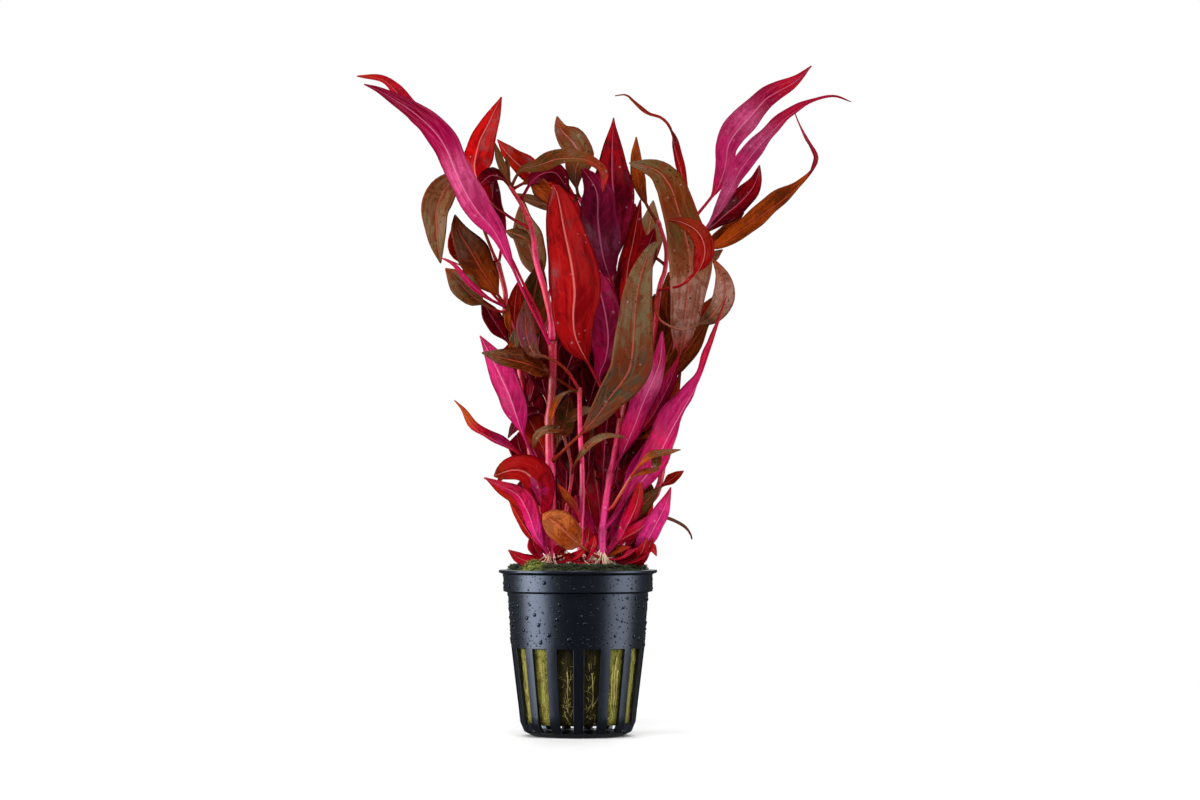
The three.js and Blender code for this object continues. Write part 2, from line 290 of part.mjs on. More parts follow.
// Small leaves that have grown as one with their stem: stem, width, up, rib.
const sprouts = [
  ["stem_left", 5, [0, 0.7, 0.7], [[-9, -8, 61], [-6, -9.6, 65], [-2.2, -9.4, 66.5]]],
  ["stem_left", 5, [0.2, -0.6, 0.8], [[-9, -8, 61], [-5.8, -13, 62.4], [-2.6, -17, 64]]],
  ["stem_left", 3.4, [0, -1, 0.6], [[-9, -8, 61.5], [-14, -9, 61.8], [-18, -10, 62], [-21.7, -10, 64]]],
  ["stem_left", 5, [0.5, 0.8, 0.2], [[-9, -8, 62], [-13, -7, 65.5], [-18, -8, 72.5], [-23.8, -8, 82]]],
  ["stem_left", 6, [-0.3, -0.8, 0.6], [[-9.8, -10, 109.5], [-12.5, -6, 112], [-16, -4, 112.5],
    [-21, -3, 109], [-24.5, -3, 104]]],
  ["stem_left_upper", 5, [0, -1, 0.4], [[-15.2, -7.8, 170], [-19, -5, 174], [-25.5, -3, 176.5]]],
  ["stem_left_upper", 3, [0.3, 0.9, 0], [[-23.3, -7, 191], [-27, -6, 200], [-29, -5, 207]]],
  ["stem_left_upper", 2.5, [-0.5, -0.8, 0], [[-23.4, -7, 191.2], [-24.6, -6, 197], [-24.8, -5.5, 203]]],
  ["stem_far_left", 2, [0.7, 0.2, 0.7], [[-25.4, 2, 149.4], [-30.9, 2, 155.7], [-37, 1.5, 162.4],
    [-44.7, -3, 166], [-47.5, -8, 166.5]]],
  ["stem_far_left", 3, [0, -0.7, 0.7], [[-27.9, 0.2, 164], [-33, -1.8, 166], [-37.6, -2.4, 164.6]]],
  ["stem_far_left", 2.6, [0, -1, 0], [[-22.4, 4, 139.4], [-24.5, 1, 144], [-24.6, 0, 151]]],
  ["stem_far_left", 3.6, [0, -1, 0.3], [[-22.2, 4, 139], [-22.6, 1, 136.4], [-24.6, 0, 134.6]]],
  ["stem_far_left", 7, [0.3, 0.9, 0], [[-27.9, 0.4, 164.5], [-27, 5, 174], [-30, 7, 186], [-29.5, 7, 198]]],
  ["stem_far_left", 6, [0.2, 0.9, 0.2], [[-18.6, 7.2, 113], [-16, 4, 120], [-14, 2, 130]]],
  ["stem_far_left", 9, [0.1, -0.6, 0.8], [[-15.5, 7, 86], [-18, 15, 93], [-21, 24, 101], [-22, 33, 106]]],
  ["stem_far_left", 9, [0.1, -0.7, 0.7], [[-20.2, 6, 127], [-22, 14, 138], [-23, 22, 149], [-22, 31, 158]]],
  ["stem_far_left", 8, [0.2, 0.9, 0.1], [[-14.3, 5.4, 66], [-17, 4, 76], [-19, 3, 85], [-17.5, 2, 92]]],
  ["stem_thin_centre", 2.5, [-0.3, -1, 0.4], [[0.6, -11, 120.6], [-5, -13.6, 119], [-7.7, -15, 115.7],
    [-9.1, -16, 111.4], [-9.7, -16.2, 107.4]]],
  ["stem_thin_centre", 3, [0.2, 1, 0], [[1.2, -12, 74], [-0.8, -14, 79], [-3.3, -14.4, 82.8],
    [-6.9, -14, 87.8]]],
  ["stem_thin_centre", 4, [0, 1, 0], [[1.5, -12, 85], [3.4, -12, 90], [4, -9, 98], [5.5, -6, 108]]],
  ["stem_thin_centre", 5, [0, 1, 0.3], [[0.4, -12, 62], [3.2, -8, 67], [4, -5, 74]]],
  ["stem_right", 4, [0.4, 0.9, 0], [[8.7, -9, 71], [11.5, -6.4, 77], [14, -5.4, 83], [13.6, -5, 89]]],
  ["stem_right", 4, [0.3, -0.6, 0.8], [[8.7, -9, 61.2], [13, -14, 62.2], [16, -18, 64]]],
  ["stem_right", 4, [0, -0.7, 0.7], [[8.7, -9, 61.5], [13, -10.5, 64.5], [18.4, -11.4, 66]]],
  ["stem_right_back", 6, [0, 1, 0], [[6, 8, 65], [6.4, 4, 80], [7.4, 2, 92], [9.6, 1.6, 104],
    [10.4, 2, 114]]],
  ["stem_right_back", 11, [-0.3, 0.9, 0], [[12.6, 9, 87], [18, 13, 97], [23, 14, 106], [27, 15, 116]]],
  ["stem_right_back", 9, [-0.2, 1, 0], [[5.4, 8, 63], [12, 5, 70], [16, 4.4, 79], [17.6, 4.8, 88]]],
  ["stem_right_back", 8, [-0.3, 1, 0], [[19.2, 9, 107], [22, 5, 113], [25, 3, 122], [27, 2.4, 131]]],
  ["stem_right_back", 5, [0.2, 1, 0], [[30.7, 5.2, 165], [25, 8, 170], [21, 9, 177], [20, 9, 187]]],
  ["stem_right_back", 10, [0, -0.7, 0.7], [[21, 9, 113], [27, 16, 122], [32, 23, 131], [35, 30, 141]]],
  ["stem_right_upper", 5, [0, -0.9, 0.5], [[0.2, 5.1, 188.6], [-6, 9, 186], [-13, 10, 187], [-23, 9, 190.6]]],
  ["stem_far_right", 6, [0.2, -0.8, 0.6], [[12.2, 0, 62], [17, -4, 65.4], [21.5, -5, 66.6], [25.5, -5, 66],
    [27.5, -4, 62.8]]],
  ["stem_far_right", 1.6, [0, -1, 1], [[21, 0.8, 76], [26, 2, 77], [31, 1, 76], [34, 0, 74.9],
    [37.3, -1, 73], [39.2, -1, 70.7], [39.9, -1, 68.5]]],
  ["stem_far_right", 4, [0, -0.9, 0.4], [[23, 1, 79], [24.6, 3, 84], [24.4, 4, 90]]],
  ["stem_far_right", 4, [-0.3, -0.9, 0.4], [[27.8, 2, 86], [31.5, 1, 88.7], [37, 1, 92.5]]],
  ["stem_far_right", 5, [-0.2, 1, 0], [[30.9, 4, 105], [30, 0.5, 112], [30.8, 0, 120], [32.4, 0.6, 130]]],
  ["stem_far_right", 1.8, [-0.6, 0, 0.8], [[31.5, 4, 112], [35, 3, 116.5], [39, 2, 119.5],
    [41.3, 2, 123], [41.7, 2, 128]]],
  ["stem_far_right", 5, [-0.2, -1, 0.5], [[41, 3, 170.6], [46, 7.6, 172.6], [51, 10, 176], [58.6, 12, 184]]],
  ["stem_far_right", 4, [0.2, -1, 0.3], [[40.6, 3, 167.6], [46, 7, 167.4], [51, 8, 170.6]]],
  ["stem_far_right", 8, [-0.3, -1, 0.3], [[34.4, 3.6, 134], [38.6, 6, 138], [43, 7, 144.6], [47.6, 8, 154]]],
  ["shoot_centre", 3.5, [0.2, -0.8, 0.6], [[-5.2, -6, 105], [-6.3, -12.4, 106.4], [-10.5, -14.4, 106.6],
    [-14, -14.4, 104.6], [-15.6, -14.4, 100]]],
  ["shoot_centre", 4.5, [0.2, -0.8, 0.6], [[-5.1, -6, 105], [-4, -7.4, 109], [0.3, -8, 112.4],
    [6, -8, 114.4]]],
  ["shoot_centre", 3.5, [-0.2, -0.8, 0.6], [[-2.1, -6, 91.5], [-0.8, -12, 95], [1.5, -15.6, 98.4],
    [5, -16, 102], [10, -16.5, 104.4], [16.5, -17, 104]]],
  ["shoot_right", 3.5, [-0.3, -0.8, 0.5], [[18.4, -16.7, 90.4], [22.3, -19, 95.2], [25.7, -20, 97.8],
    [29.5, -20, 98.4], [35.5, -19, 99.7]]],
  ["shoot_right", 3.8, [0, -1, 0.2], [[25, -19.8, 97.3], [27.4, -20, 97.4], [26.6, -19.4, 92.6]]],
  ["shoot_right", 2.4, [0, -1, 0.4], [[18.2, -16.6, 90], [22.3, -17.6, 91.8], [28.3, -17.6, 92.9]]],
  ["stem_back_left", 9, [0.1, 1, 0], [[-6.6, 13.6, 66], [-5, 9, 78], [-4, 7, 90], [-5, 7, 102]]],
  ["stem_back_left", 9, [0.2, 1, 0], [[-11.3, 19.8, 118], [-10, 14, 128], [-7, 11, 140], [-5, 10, 152]]],
  ["stem_back_left", 12, [0, 1, 0], [[-6.2, 13.4, 68], [2, 11, 79], [3.4, 9, 93], [2.4, 9, 107]]],
  ["stem_back_left", 11, [0, 1, 0], [[-10.6, 18.4, 106], [-5, 15, 114], [-0.6, 14, 125], [0.6, 14, 137]]],
  ["stem_back_right", 10, [-0.1, 1, 0], [[12.6, 20.6, 111], [9, 13, 119], [7.4, 8, 130], [7, 7, 143]]],
  ["stem_back_right", 10, [0, -0.8, 0.6], [[15, 24.5, 150.4], [10, 31, 164], [8, 37, 177], [9, 42, 194]]],
  ["stem_back_right", 9, [0, 1, 0], [[13.4, 21.2, 118], [17, 16, 128], [20, 14, 140], [20, 13, 152]]],
];

// ---------------------------------------------------------------- helpers
const toVector = ([x, y, z]) => new THREE.Vector3(x, y, z);

function curveThrough(points) {
  return new THREE.CatmullRomCurve3(points.map(toVector), false, "catmullrom", 0.5);
}

// A closed geometry as a manifold-3d solid, and back.
function toSolid(geometry) {
  const bare = geometry.clone();
  bare.deleteAttribute("normal");
  bare.deleteAttribute("uv");
  const merged = mergeVertices(bare, 1e-4);
  return new wasm.Manifold(new wasm.Mesh({
    numProp: 3,
    vertProperties: merged.attributes.position.array,
    triVerts: new Uint32Array(merged.index.array),
  }));
}

function toGeometry(solid) {
  const mesh = solid.getMesh();
  const geometry = new THREE.BufferGeometry();
  geometry.setAttribute("position", new THREE.BufferAttribute(mesh.vertProperties, 3));
  geometry.setIndex(new THREE.BufferAttribute(mesh.triVerts, 1));
  geometry.computeVertexNormals();
  return geometry;
}

function largestBody(solid) {
  return solid.decompose().sort((a, b) => b.volume() - a.volume())[0];
}

// Bends a unit cylinder along a curve. section(x, z, s) gives the place across and above the curve's axes
// at the share s of its length; faceAt(s) gives the way the section's top faces.
function bendAlong(curve, sides, steps, section, faceAt) {
  const geometry = new THREE.CylinderGeometry(1, 1, 1, sides, steps);
  const position = geometry.attributes.position;
  for (let i = 0; i < position.count; i++) {
    const s = THREE.MathUtils.clamp(position.getY(i) + 0.5, 0, 1);
    const along = curve.getTangentAt(s);
    const top = faceAt(s);
    top.addScaledVector(along, -top.dot(along)).normalize();
    const across = along.clone().cross(top);
    const [a, b] = section(position.getX(i), position.getZ(i), s);
    const place = curve.getPointAt(s).addScaledVector(across, a).addScaledVector(top, b);
    position.setXYZ(i, place.x, place.y, place.z);
  }
  return geometry;
}

// ---------------------------------------------------------------- stems and leaves
function stemSolid({ radius, route, knots }, extra = 0) {
  const curve = curveThrough(route);
  const steps = Math.max(4, Math.round(curve.getLength() / 9));
  const section = (x, z, s) => {
    const swell = Math.max(...knots.map((k) => Math.exp(-(((s - k) * curve.getLength()) ** 2) / 8)));
    const r = THREE.MathUtils.lerp(radius[0], radius[1], s) * (1 + 0.22 * swell) + extra;
    return [x * r, z * r];
  };
  return toSolid(bendAlong(curve, stemSides, steps, section, () => new THREE.Vector3(0, 1, 0)));
}

// Half the width of a leaf at the share s of its length.
function halfWidth(s, width, stalk) {
  if (s <= stalk) return stalkHalf;
  const q = (s - stalk) / (1 - stalk);
  const bulge = Math.sin(Math.PI * q ** 0.85) ** 1.1;
  return THREE.MathUtils.lerp(stalkHalf, tipHalf, q) + (width / 2 - 0.4) * bulge;
}

function leafSolid({ width, stalk, up, upTip = up, rib }, steps) {
  const curve = curveThrough(rib);
  const section = (x, z, s) => {
    const half = halfWidth(s, width, stalk);
    const thick = THREE.MathUtils.lerp(0.5, 0.22, s);
    return [x * half, z * thick + Math.abs(x) * bladeFold * (half - stalkHalf)];
  };
  const faceAt = (s) => toVector(up).lerp(toVector(upTip), THREE.MathUtils.smoothstep(s, 0.1, 0.9));
  return toSolid(bendAlong(curve, 4, steps, section, faceAt));
}

function mesh(name, solid, look) {
  const made = new THREE.Mesh(toGeometry(solid.simplify(shortestEdge)), new THREE.MeshStandardMaterial(colours[look]));
  made.name = name;
  return made;
}

// ---------------------------------------------------------------- pot
function potSolid() {
  const outer = [
    [0, 0], [footRadius, 0], [heelRadius - 1.4, 1.6], [heelRadius, heelHeight], [slotTopRadius, slotTop],
    [bodyTopRadius, collarBottom - 0.5], [collarRadius, collarBottom],
    [collarRadius, potHeight - rimThickness - 0.5], [rimRadius, potHeight - rimThickness],
    [rimRadius, potHeight],
  ];
  const inner = [
    [collarRadius - wall, potHeight], [collarRadius - wall, collarBottom + wallJog],
    [bodyTopRadius - wall, collarBottom - wallJog], [slotTopRadius - wall, slotTop],
    [heelRadius - wall, heelHeight + 0.2], [floorRadius, floorThickness], [0, floorThickness],
  ];
  const profile = [...outer, ...inner].map(([r, z]) => new THREE.Vector2(r, z));
  const lathe = new THREE.LatheGeometry(profile, potSides);
  lathe.rotateX(Math.PI / 2);
  let pot = toSolid(lathe);
  const slotShape = new THREE.Shape([
    new THREE.Vector2(-slotWidthLow / 2, slotBottom),
    new THREE.Vector2(slotWidthLow / 2, slotBottom),
    new THREE.Vector2(slotWidth / 2, slotTop),
    new THREE.Vector2(-slotWidth / 2, slotTop),
  ]);
  const slotOutline = new THREE.ExtrudeGeometry(slotShape, { depth: slotReach, bevelEnabled: false });
  slotOutline.rotateX(Math.PI / 2);
  slotOutline.translate(0, slotInnerEnd, 0);
  for (let i = 0; i < slotCount; i++) {
    const angle = firstSlot + (i * 2 * Math.PI) / slotCount;
    pot = pot.subtract(toSolid(slotOutline.clone().rotateZ(angle)));
  }
  const hole = new THREE.CylinderGeometry(floorHoleRadius, floorHoleRadius, 6, 10);
  hole.rotateX(Math.PI / 2);
  hole.translate(floorHoleRing, 0, 0);
  for (let i = 0; i < floorHoleCount; i++) {
    pot = pot.subtract(toSolid(hole.clone().rotateZ((i * 2 * Math.PI) / floorHoleCount)));
  }
  return pot;
}

// ---------------------------------------------------------------- rock wool and moss
function insideRadius(z) {
  const wallLine = [[woolBottom, floorRadius + 1], [heelHeight + 0.2, heelRadius - wall],
    [slotTop, slotTopRadius - wall],
    [collarBottom - wallJog, bodyTopRadius - wall], [collarBottom + wallJog, collarRadius - wall],
    [potHeight, collarRadius - wall]];
  const above = wallLine.findIndex(([height]) => height >= z);
  if (above <= 0) return wallLine[0][1] - clearance;
  const [lowZ, lowR] = wallLine[above - 1];
  const [highZ, highR] = wallLine[above];
  return lowR + ((highR - lowR) * (z - lowZ)) / (highZ - lowZ) - clearance;
}

// The plug fills the pot and swells a little into each slot.
function woolSolid(sockets) {
  const heights = [woolBottom, 6, 17, slotTop - 1, slotTop + 2, collarBottom - 1, collarBottom + 1, woolTop];
  const profile = [new THREE.Vector2(0, woolBottom)];
  for (const z of heights) profile.push(new THREE.Vector2(insideRadius(z) - 0.15, z));
  profile.push(new THREE.Vector2(0, woolTop));
  const lathe = new THREE.LatheGeometry(profile, slotCount * 3);
  lathe.rotateX(Math.PI / 2);
  const position = lathe.attributes.position;
  for (let i = 0; i < position.count; i++) {
    const x = position.getX(i);
    const y = position.getY(i);
    const z = position.getZ(i);
    const turn = Math.atan2(x, -y) - firstSlot;
    const inSlot = Math.max(0, Math.cos(turn * slotCount) - 0.2) / 0.8;
    const atWall = z > heelHeight && z < slotTop && Math.hypot(x, y) > heelRadius / 2;
    const swell = atWall ? 1 + (slotSwell * inSlot) / slotTopRadius : 1;
    position.setXYZ(i, x * swell, y * swell, z);
  }
  return largestBody(toSolid(lathe).subtract(sockets));
}

// A lumpy cushion of moss over the wool, up to the pot's wall.
function mossSolid(sockets) {
  const bottom = woolTop + clearance;
  const reach = collarRadius - wall - clearance - 0.2;
  const rings = [0, 6, 12, 18, reach - 0.8];
  const profile = [new THREE.Vector2(0, bottom), new THREE.Vector2(reach, bottom)];
  for (const r of [...rings].reverse()) profile.push(new THREE.Vector2(r, bottom + mossThickness));
  const lathe = new THREE.LatheGeometry(profile, 24);
  lathe.rotateX(Math.PI / 2);
  const position = lathe.attributes.position;
  for (let i = 0; i < position.count; i++) {
    const x = position.getX(i);
    const y = position.getY(i);
    if (position.getZ(i) < bottom + 0.1) continue;
    const lump = 0.35 * Math.sin(x * 0.7 + 1) * Math.cos(y * 0.8) + 0.25 * Math.sin(x * 1.9 - y * 1.3);
    position.setZ(i, bottom + mossThickness + lump - 0.5);
  }
  return largestBody(toSolid(lathe).subtract(sockets));
}

// ---------------------------------------------------------------- assembly
const plant = new THREE.Group();
const stemCores = {};
const stemSeats = {}; // each stem grown by the clearance: what is cut by it keeps off it
for (const [name, stem] of Object.entries(stems)) {
  stemCores[name] = stemSolid(stem);
  const foot = stem.route[0][2] === stemFoot;
  const [x, y] = stem.route[0];
  const route = foot ? [[x, y, stemFoot - clearance], ...stem.route.slice(1)] : stem.route;
  stemSeats[name] = stemSolid({ ...stem, route }, clearance);
}
const sockets = Object.keys(stems)
  .filter((name) => stems[name].route[0][2] === stemFoot)
  .map((name) => stemSeats[name])
  .reduce((all, next) => all.add(next));

plant.add(mesh("pot", potSolid(), "plastic"));
plant.add(mesh("rock_wool_plug", woolSolid(sockets), "wool"));
plant.add(mesh("moss_cushion", mossSolid(sockets), "moss"));

for (const [name, core] of Object.entries(stemCores)) {
  const own = sprouts
    .filter(([stem]) => stem === name)
    .map(([, width, up, rib]) => leafSolid({ width, stalk: sproutStalk, up, rib }, sproutSteps));
  const grown = own.reduce((solid, leaf) => solid.add(leaf), core);
  const { from } = stems[name];
  plant.add(mesh(name, from ? largestBody(grown.subtract(stemSeats[from])) : grown, "stem"));
}

for (const [name, leaf] of Object.entries(leaves)) {
  const steps = THREE.MathUtils.clamp(Math.round(curveThrough(leaf.rib).getLength() / 8), 6, 12);
  const seated = largestBody(leafSolid(leaf, steps).subtract(stemSeats[leaf.stem]));
  plant.add(mesh(name, seated, leaf.colour));
}

export default plant;
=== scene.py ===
import math
import random

import bmesh
import bpy
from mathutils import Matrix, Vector, noise


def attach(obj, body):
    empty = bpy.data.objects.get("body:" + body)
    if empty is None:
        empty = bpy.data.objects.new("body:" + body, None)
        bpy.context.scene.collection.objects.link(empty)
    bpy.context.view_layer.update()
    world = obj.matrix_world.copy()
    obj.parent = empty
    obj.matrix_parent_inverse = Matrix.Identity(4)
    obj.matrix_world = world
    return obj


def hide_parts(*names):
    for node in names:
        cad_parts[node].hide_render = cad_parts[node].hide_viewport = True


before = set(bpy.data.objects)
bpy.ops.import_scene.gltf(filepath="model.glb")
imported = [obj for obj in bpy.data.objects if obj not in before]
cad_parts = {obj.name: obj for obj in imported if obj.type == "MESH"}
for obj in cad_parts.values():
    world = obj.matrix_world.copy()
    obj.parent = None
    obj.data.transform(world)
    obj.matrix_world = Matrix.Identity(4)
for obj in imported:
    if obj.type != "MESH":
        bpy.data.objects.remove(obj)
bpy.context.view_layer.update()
scene = bpy.context.scene
mm = 0.001
print("model loaded:", len(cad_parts), "nodes")

# paint box: red, green and blue from 0 to 255
palette = {
    "hotPink": (242, 36, 112), "pink": (214, 48, 124), "palePink": (232, 104, 162), "magenta": (176, 14, 80),
    "magentaPink": (198, 30, 112), "pinkRed": (216, 22, 58), "pinkCrimson": (168, 24, 66), "red": (178, 22, 24),
    "brightRed": (212, 18, 16), "darkRed": (128, 6, 12), "crimson": (134, 8, 30), "maroon": (78, 3, 8),
    "orangeRed": (186, 42, 14), "orange": (186, 84, 20), "rust": (126, 58, 18), "brown": (88, 44, 14),
    "greyBrown": (98, 76, 58), "tan": (164, 120, 78), "olive": (112, 92, 48), "oliveGrey": (130, 122, 86),
    "amber": (216, 128, 62), "neon": (255, 60, 160), "paleGrey": (192, 156, 138), "green": (62, 62, 26),
    "greyGreen": (74, 78, 56), "greenGrey": (100, 114, 78), "purple": (136, 24, 64),
    "purpleGrey": (140, 64, 94),
}


def paint(red, green, blue):
    def channel(value):
        value = value / 255
        return value / 12.92 if value <= 0.04045 else ((value + 0.055) / 1.055) ** 2.4

    return (channel(red), channel(green), channel(blue), 1.0)


# the colour at the share s of the way through a row of palette names
def toneAt(names, s):
    stops = [Vector(paint(*palette[name])) for name in names.split()]
    place = min(max(s, 0), 0.9999) * (len(stops) - 1)
    low = int(place)
    share = place - low
    return stops[low].lerp(stops[low + 1], share * share * (3 - 2 * share))


# a smooth line through points in millimetres, walked by the share of its length
class Line:
    def __init__(self, points, fine=24):
        p = [Vector(point) for point in points]
        p = [2 * p[0] - p[1]] + p + [2 * p[-1] - p[-2]]
        self.places = []
        for i in range(1, len(p) - 2):
            leave = (p[i + 1] - p[i - 1]) / 2
            arrive = (p[i + 2] - p[i]) / 2
            for k in range(fine):
                t = k / fine
                self.places.append(
                    p[i] * (2 * t**3 - 3 * t**2 + 1) + leave * (t**3 - 2 * t**2 + t)
                    + p[i + 1] * (3 * t**2 - 2 * t**3) + arrive * (t**3 - t**2)
                )
        self.places.append(p[-2].copy())
        self.walked = [0.0]
        for a, b in zip(self.places, self.places[1:]):
            self.walked.append(self.walked[-1] + (b - a).length)
        self.length = self.walked[-1]

    def at(self, s):
        goal = min(max(s, 0), 1) * self.length
        low, high = 0, len(self.walked) - 1
        while high - low > 1:
            middle = (low + high) // 2
            if self.walked[middle] <= goal:
                low = middle
            else:
                high = middle
        share = (goal - self.walked[low]) / max(self.walked[high] - self.walked[low], 1e-9)
        return self.places[low].lerp(self.places[high], share)

    def way(self, s):
        step = 0.004
        return (self.at(min(s + step, 1)) - self.at(max(s - step, 0))).normalized()


def smooth(value, low, high):
    t = min(max((value - low) / (high - low), 0), 1)
    return t * t * (3 - 2 * t)


# a place at an angle round the pot's axis, counted from the front, in millimetres
def polar(angle, radius, z):
    return Vector((math.sin(angle) * radius, -math.cos(angle) * radius, z))


def newMesh(name, bm):
    mesh = bpy.data.meshes.new(name)
    bm.to_mesh(mesh)
    bm.free()
    return mesh


def placeMesh(name, mesh):
    for polygon in mesh.polygons:
        polygon.use_smooth = True
    made = bpy.data.objects.new(name, mesh)
    scene.collection.objects.link(made)
    return made


def newObject(name, bm, *materials):
    made = placeMesh(name, newMesh(name, bm))
    for material in materials:
        made.data.materials.append(material)
    return made


# links each named or numbered input to a socket, or writes a plain value on it
def fill(tree, sockets, **inputs):
    for key, value in inputs.items():
        numbered = key.startswith("in") and key[2:].isdigit()
        socket = sockets[int(key[2:])] if numbered else sockets[key.replace("_", " ")]
        if isinstance(value, bpy.types.NodeSocket):
            tree.links.new(value, socket)
        else:
            socket.default_value = value


def node(tree, kind, settings=None, **inputs):
    made = tree.nodes.new(kind)
    for key, value in (settings or {}).items():
        setattr(made, key, value)
    fill(tree, made.inputs, **inputs)
    return made


def maths(tree, operation, a, b=0.5, c=0.5):
    return node(tree, "ShaderNodeMath", {"operation": operation}, in0=a, in1=b, in2=c).outputs[0]


def times(tree, a, b):
    return maths(tree, "MULTIPLY", a, b)


def ranged(tree, value, low, high, toLow=0.0, toHigh=1.0):
    return node(tree, "ShaderNodeMapRange", {"interpolation_type": "SMOOTHSTEP"}, in0=value, in1=low, in2=high,
        in3=toLow, in4=toHigh).outputs[0]


def blendColours(tree, factor, a, b, mode="MIX"):
    return node(tree, "ShaderNodeMix", {"data_type": "RGBA", "blend_type": mode, "clamp_factor": True},
        in0=factor, in6=a, in7=b).outputs[2]


# lays colours over one another, each through its own mask
def layered(tree, below, *layers):
    for mask, colour in layers:
        below = blendColours(tree, mask, below, colour)
    return below


def bumped(tree, height, strength, distance):
    return node(tree, "ShaderNodeBump", Strength=strength, Distance=distance, Height=height).outputs[0]


def noiseIn(tree, place, flat=False, **inputs):
    settings = {"noise_dimensions": "2D"} if flat else {}
    return node(tree, "ShaderNodeTexNoise", settings, Vector=place, **inputs).outputs[0]


def objectPlace(tree):
    return node(tree, "ShaderNodeTexCoord").outputs["Object"]


# an input with no default is a vector, and all the others are numbers
def newGroup(name, inputs, outputs):
    group = bpy.data.node_groups.new(name, "ShaderNodeTree")
    for label, value in inputs.items():
        kind = "NodeSocketVector" if value is None else "NodeSocketFloat"
        socket = group.interface.new_socket(name=label, in_out="INPUT", socket_type=kind)
        if value is not None:
            socket.default_value = value
    for label in outputs:
        group.interface.new_socket(name=label, in_out="OUTPUT", socket_type="NodeSocketFloat")
    return group, group.nodes.new("NodeGroupInput").outputs, group.nodes.new("NodeGroupOutput").inputs


# the midrib and the side veins of a leaf, from its own map: x across and y along
def veinGroup():
    group, start, end = newGroup("leafVeins", {"Map": None, "Count": 11.0, "Lean": 0.32, "Sharpness": 0.16},
        ["Midrib", "Veins", "Puckers", "Margin"])
    split = node(group, "ShaderNodeSeparateXYZ", Vector=start["Map"]).outputs
    across = maths(group, "ABSOLUTE", maths(group, "MULTIPLY_ADD", split[0], 2.0, -1.0))
    wander = noiseIn(group, start["Map"], True, Scale=5.0, Detail=2.0)
    shift = maths(group, "MULTIPLY_ADD", wander, 0.09, -0.045)
    bend = times(group, maths(group, "POWER", across, 1.25), maths(group, "DIVIDE", start["Lean"], 2.0))
    along = maths(group, "SUBTRACT", maths(group, "ADD", split[1], shift), bend)
    phase = maths(group, "FRACT", times(group, along, start["Count"]))
    off = maths(group, "ABSOLUTE", maths(group, "SUBTRACT", phase, 0.5))
    line = ranged(group, off, start["Sharpness"], 0.0)
    fill(group, end, Veins=times(group, line, ranged(group, across, 0.95, 0.55)),
        Midrib=ranged(group, across, 0.055, 0.012), Puckers=ranged(group, off, 0.0, 0.5),
        Margin=ranged(group, across, 0.7, 1.0))
    return group


# soft patches and fine speckles
def mottleGroup():
    group, start, end = newGroup("mottle", {"Patch size": 160.0, "Patch share": 0.5, "Speckle size": 800.0},
        ["Patches", "Speckles", "Grain"])
    place = objectPlace(group)
    patches = noiseIn(group, place, Scale=start["Patch size"], Detail=6.0, Roughness=0.7, Distortion=0.9)
    speckles = noiseIn(group, place, Scale=start["Speckle size"], Detail=3.0, Roughness=0.7)
    low = maths(group, "SUBTRACT", 0.72, times(group, start["Patch share"], 0.42))
    fill(group, end, Patches=ranged(group, patches, low, maths(group, "ADD", low, 0.11)),
        Speckles=ranged(group, speckles, 0.6, 0.66), Grain=speckles)
    return group


# small standing drops of water
def dropGroup():
    group, start, end = newGroup("standingDrops", {"Size": 330.0, "Share": 0.3}, ["Drops", "Rims"])
    cells = node(group, "ShaderNodeTexVoronoi", {"feature": "F1"}, Vector=objectPlace(group),
        Scale=start["Size"], Randomness=1.0).outputs
    pick = node(group, "ShaderNodeSeparateColor", Color=cells["Color"]).outputs
    chosen = maths(group, "LESS_THAN", pick[0], start["Share"])
    reach = maths(group, "MULTIPLY_ADD", pick[1], 0.16, 0.1)
    dome = ranged(group, cells["Distance"], reach, 0.0)
    rim = times(group, ranged(group, dome, 0.0, 0.3), ranged(group, dome, 0.85, 0.35))
    fill(group, end, Drops=times(group, dome, chosen), Rims=times(group, rim, chosen))
    return group


# noise drawn out along a leaf or a stem
def streakGroup():
    group, start, end = newGroup("streaks", {"Map": None, "Across": 7.0, "Along": 1.6}, ["Streaks"])
    stretch = node(group, "ShaderNodeCombineXYZ", X=start["Across"], Y=start["Along"]).outputs[0]
    spread = node(group, "ShaderNodeVectorMath", {"operation": "MULTIPLY"}, in0=start["Map"], in1=stretch)
    fill(group, end, Streaks=noiseIn(group, spread.outputs[0], True, Scale=1.0, Detail=4.0, Roughness=0.62))
    return group


veins = veinGroup()
streaks = streakGroup()
mottle = mottleGroup()
drops = dropGroup()


def useGroup(tree, group, **inputs):
    return node(tree, "ShaderNodeGroup", {"node_tree": group}, **inputs).outputs


def newMaterial(name):
    material = bpy.data.materials.new(name)
    material.use_nodes = True
    tree = material.node_tree
    tree.nodes.clear()
    shader = tree.nodes.new("ShaderNodeBsdfPrincipled")
    node(tree, "ShaderNodeOutputMaterial", Surface=shader.outputs[0])
    return material, tree, shader.inputs


# the tone and the map that each leaf and stem carries
def plantInputs(tree):
    tone = node(tree, "ShaderNodeAttribute", {"attribute_name": "tone"}).outputs["Color"]
    return tone, node(tree, "ShaderNodeUVMap", {"uv_map": "leafMap"}).outputs[0]


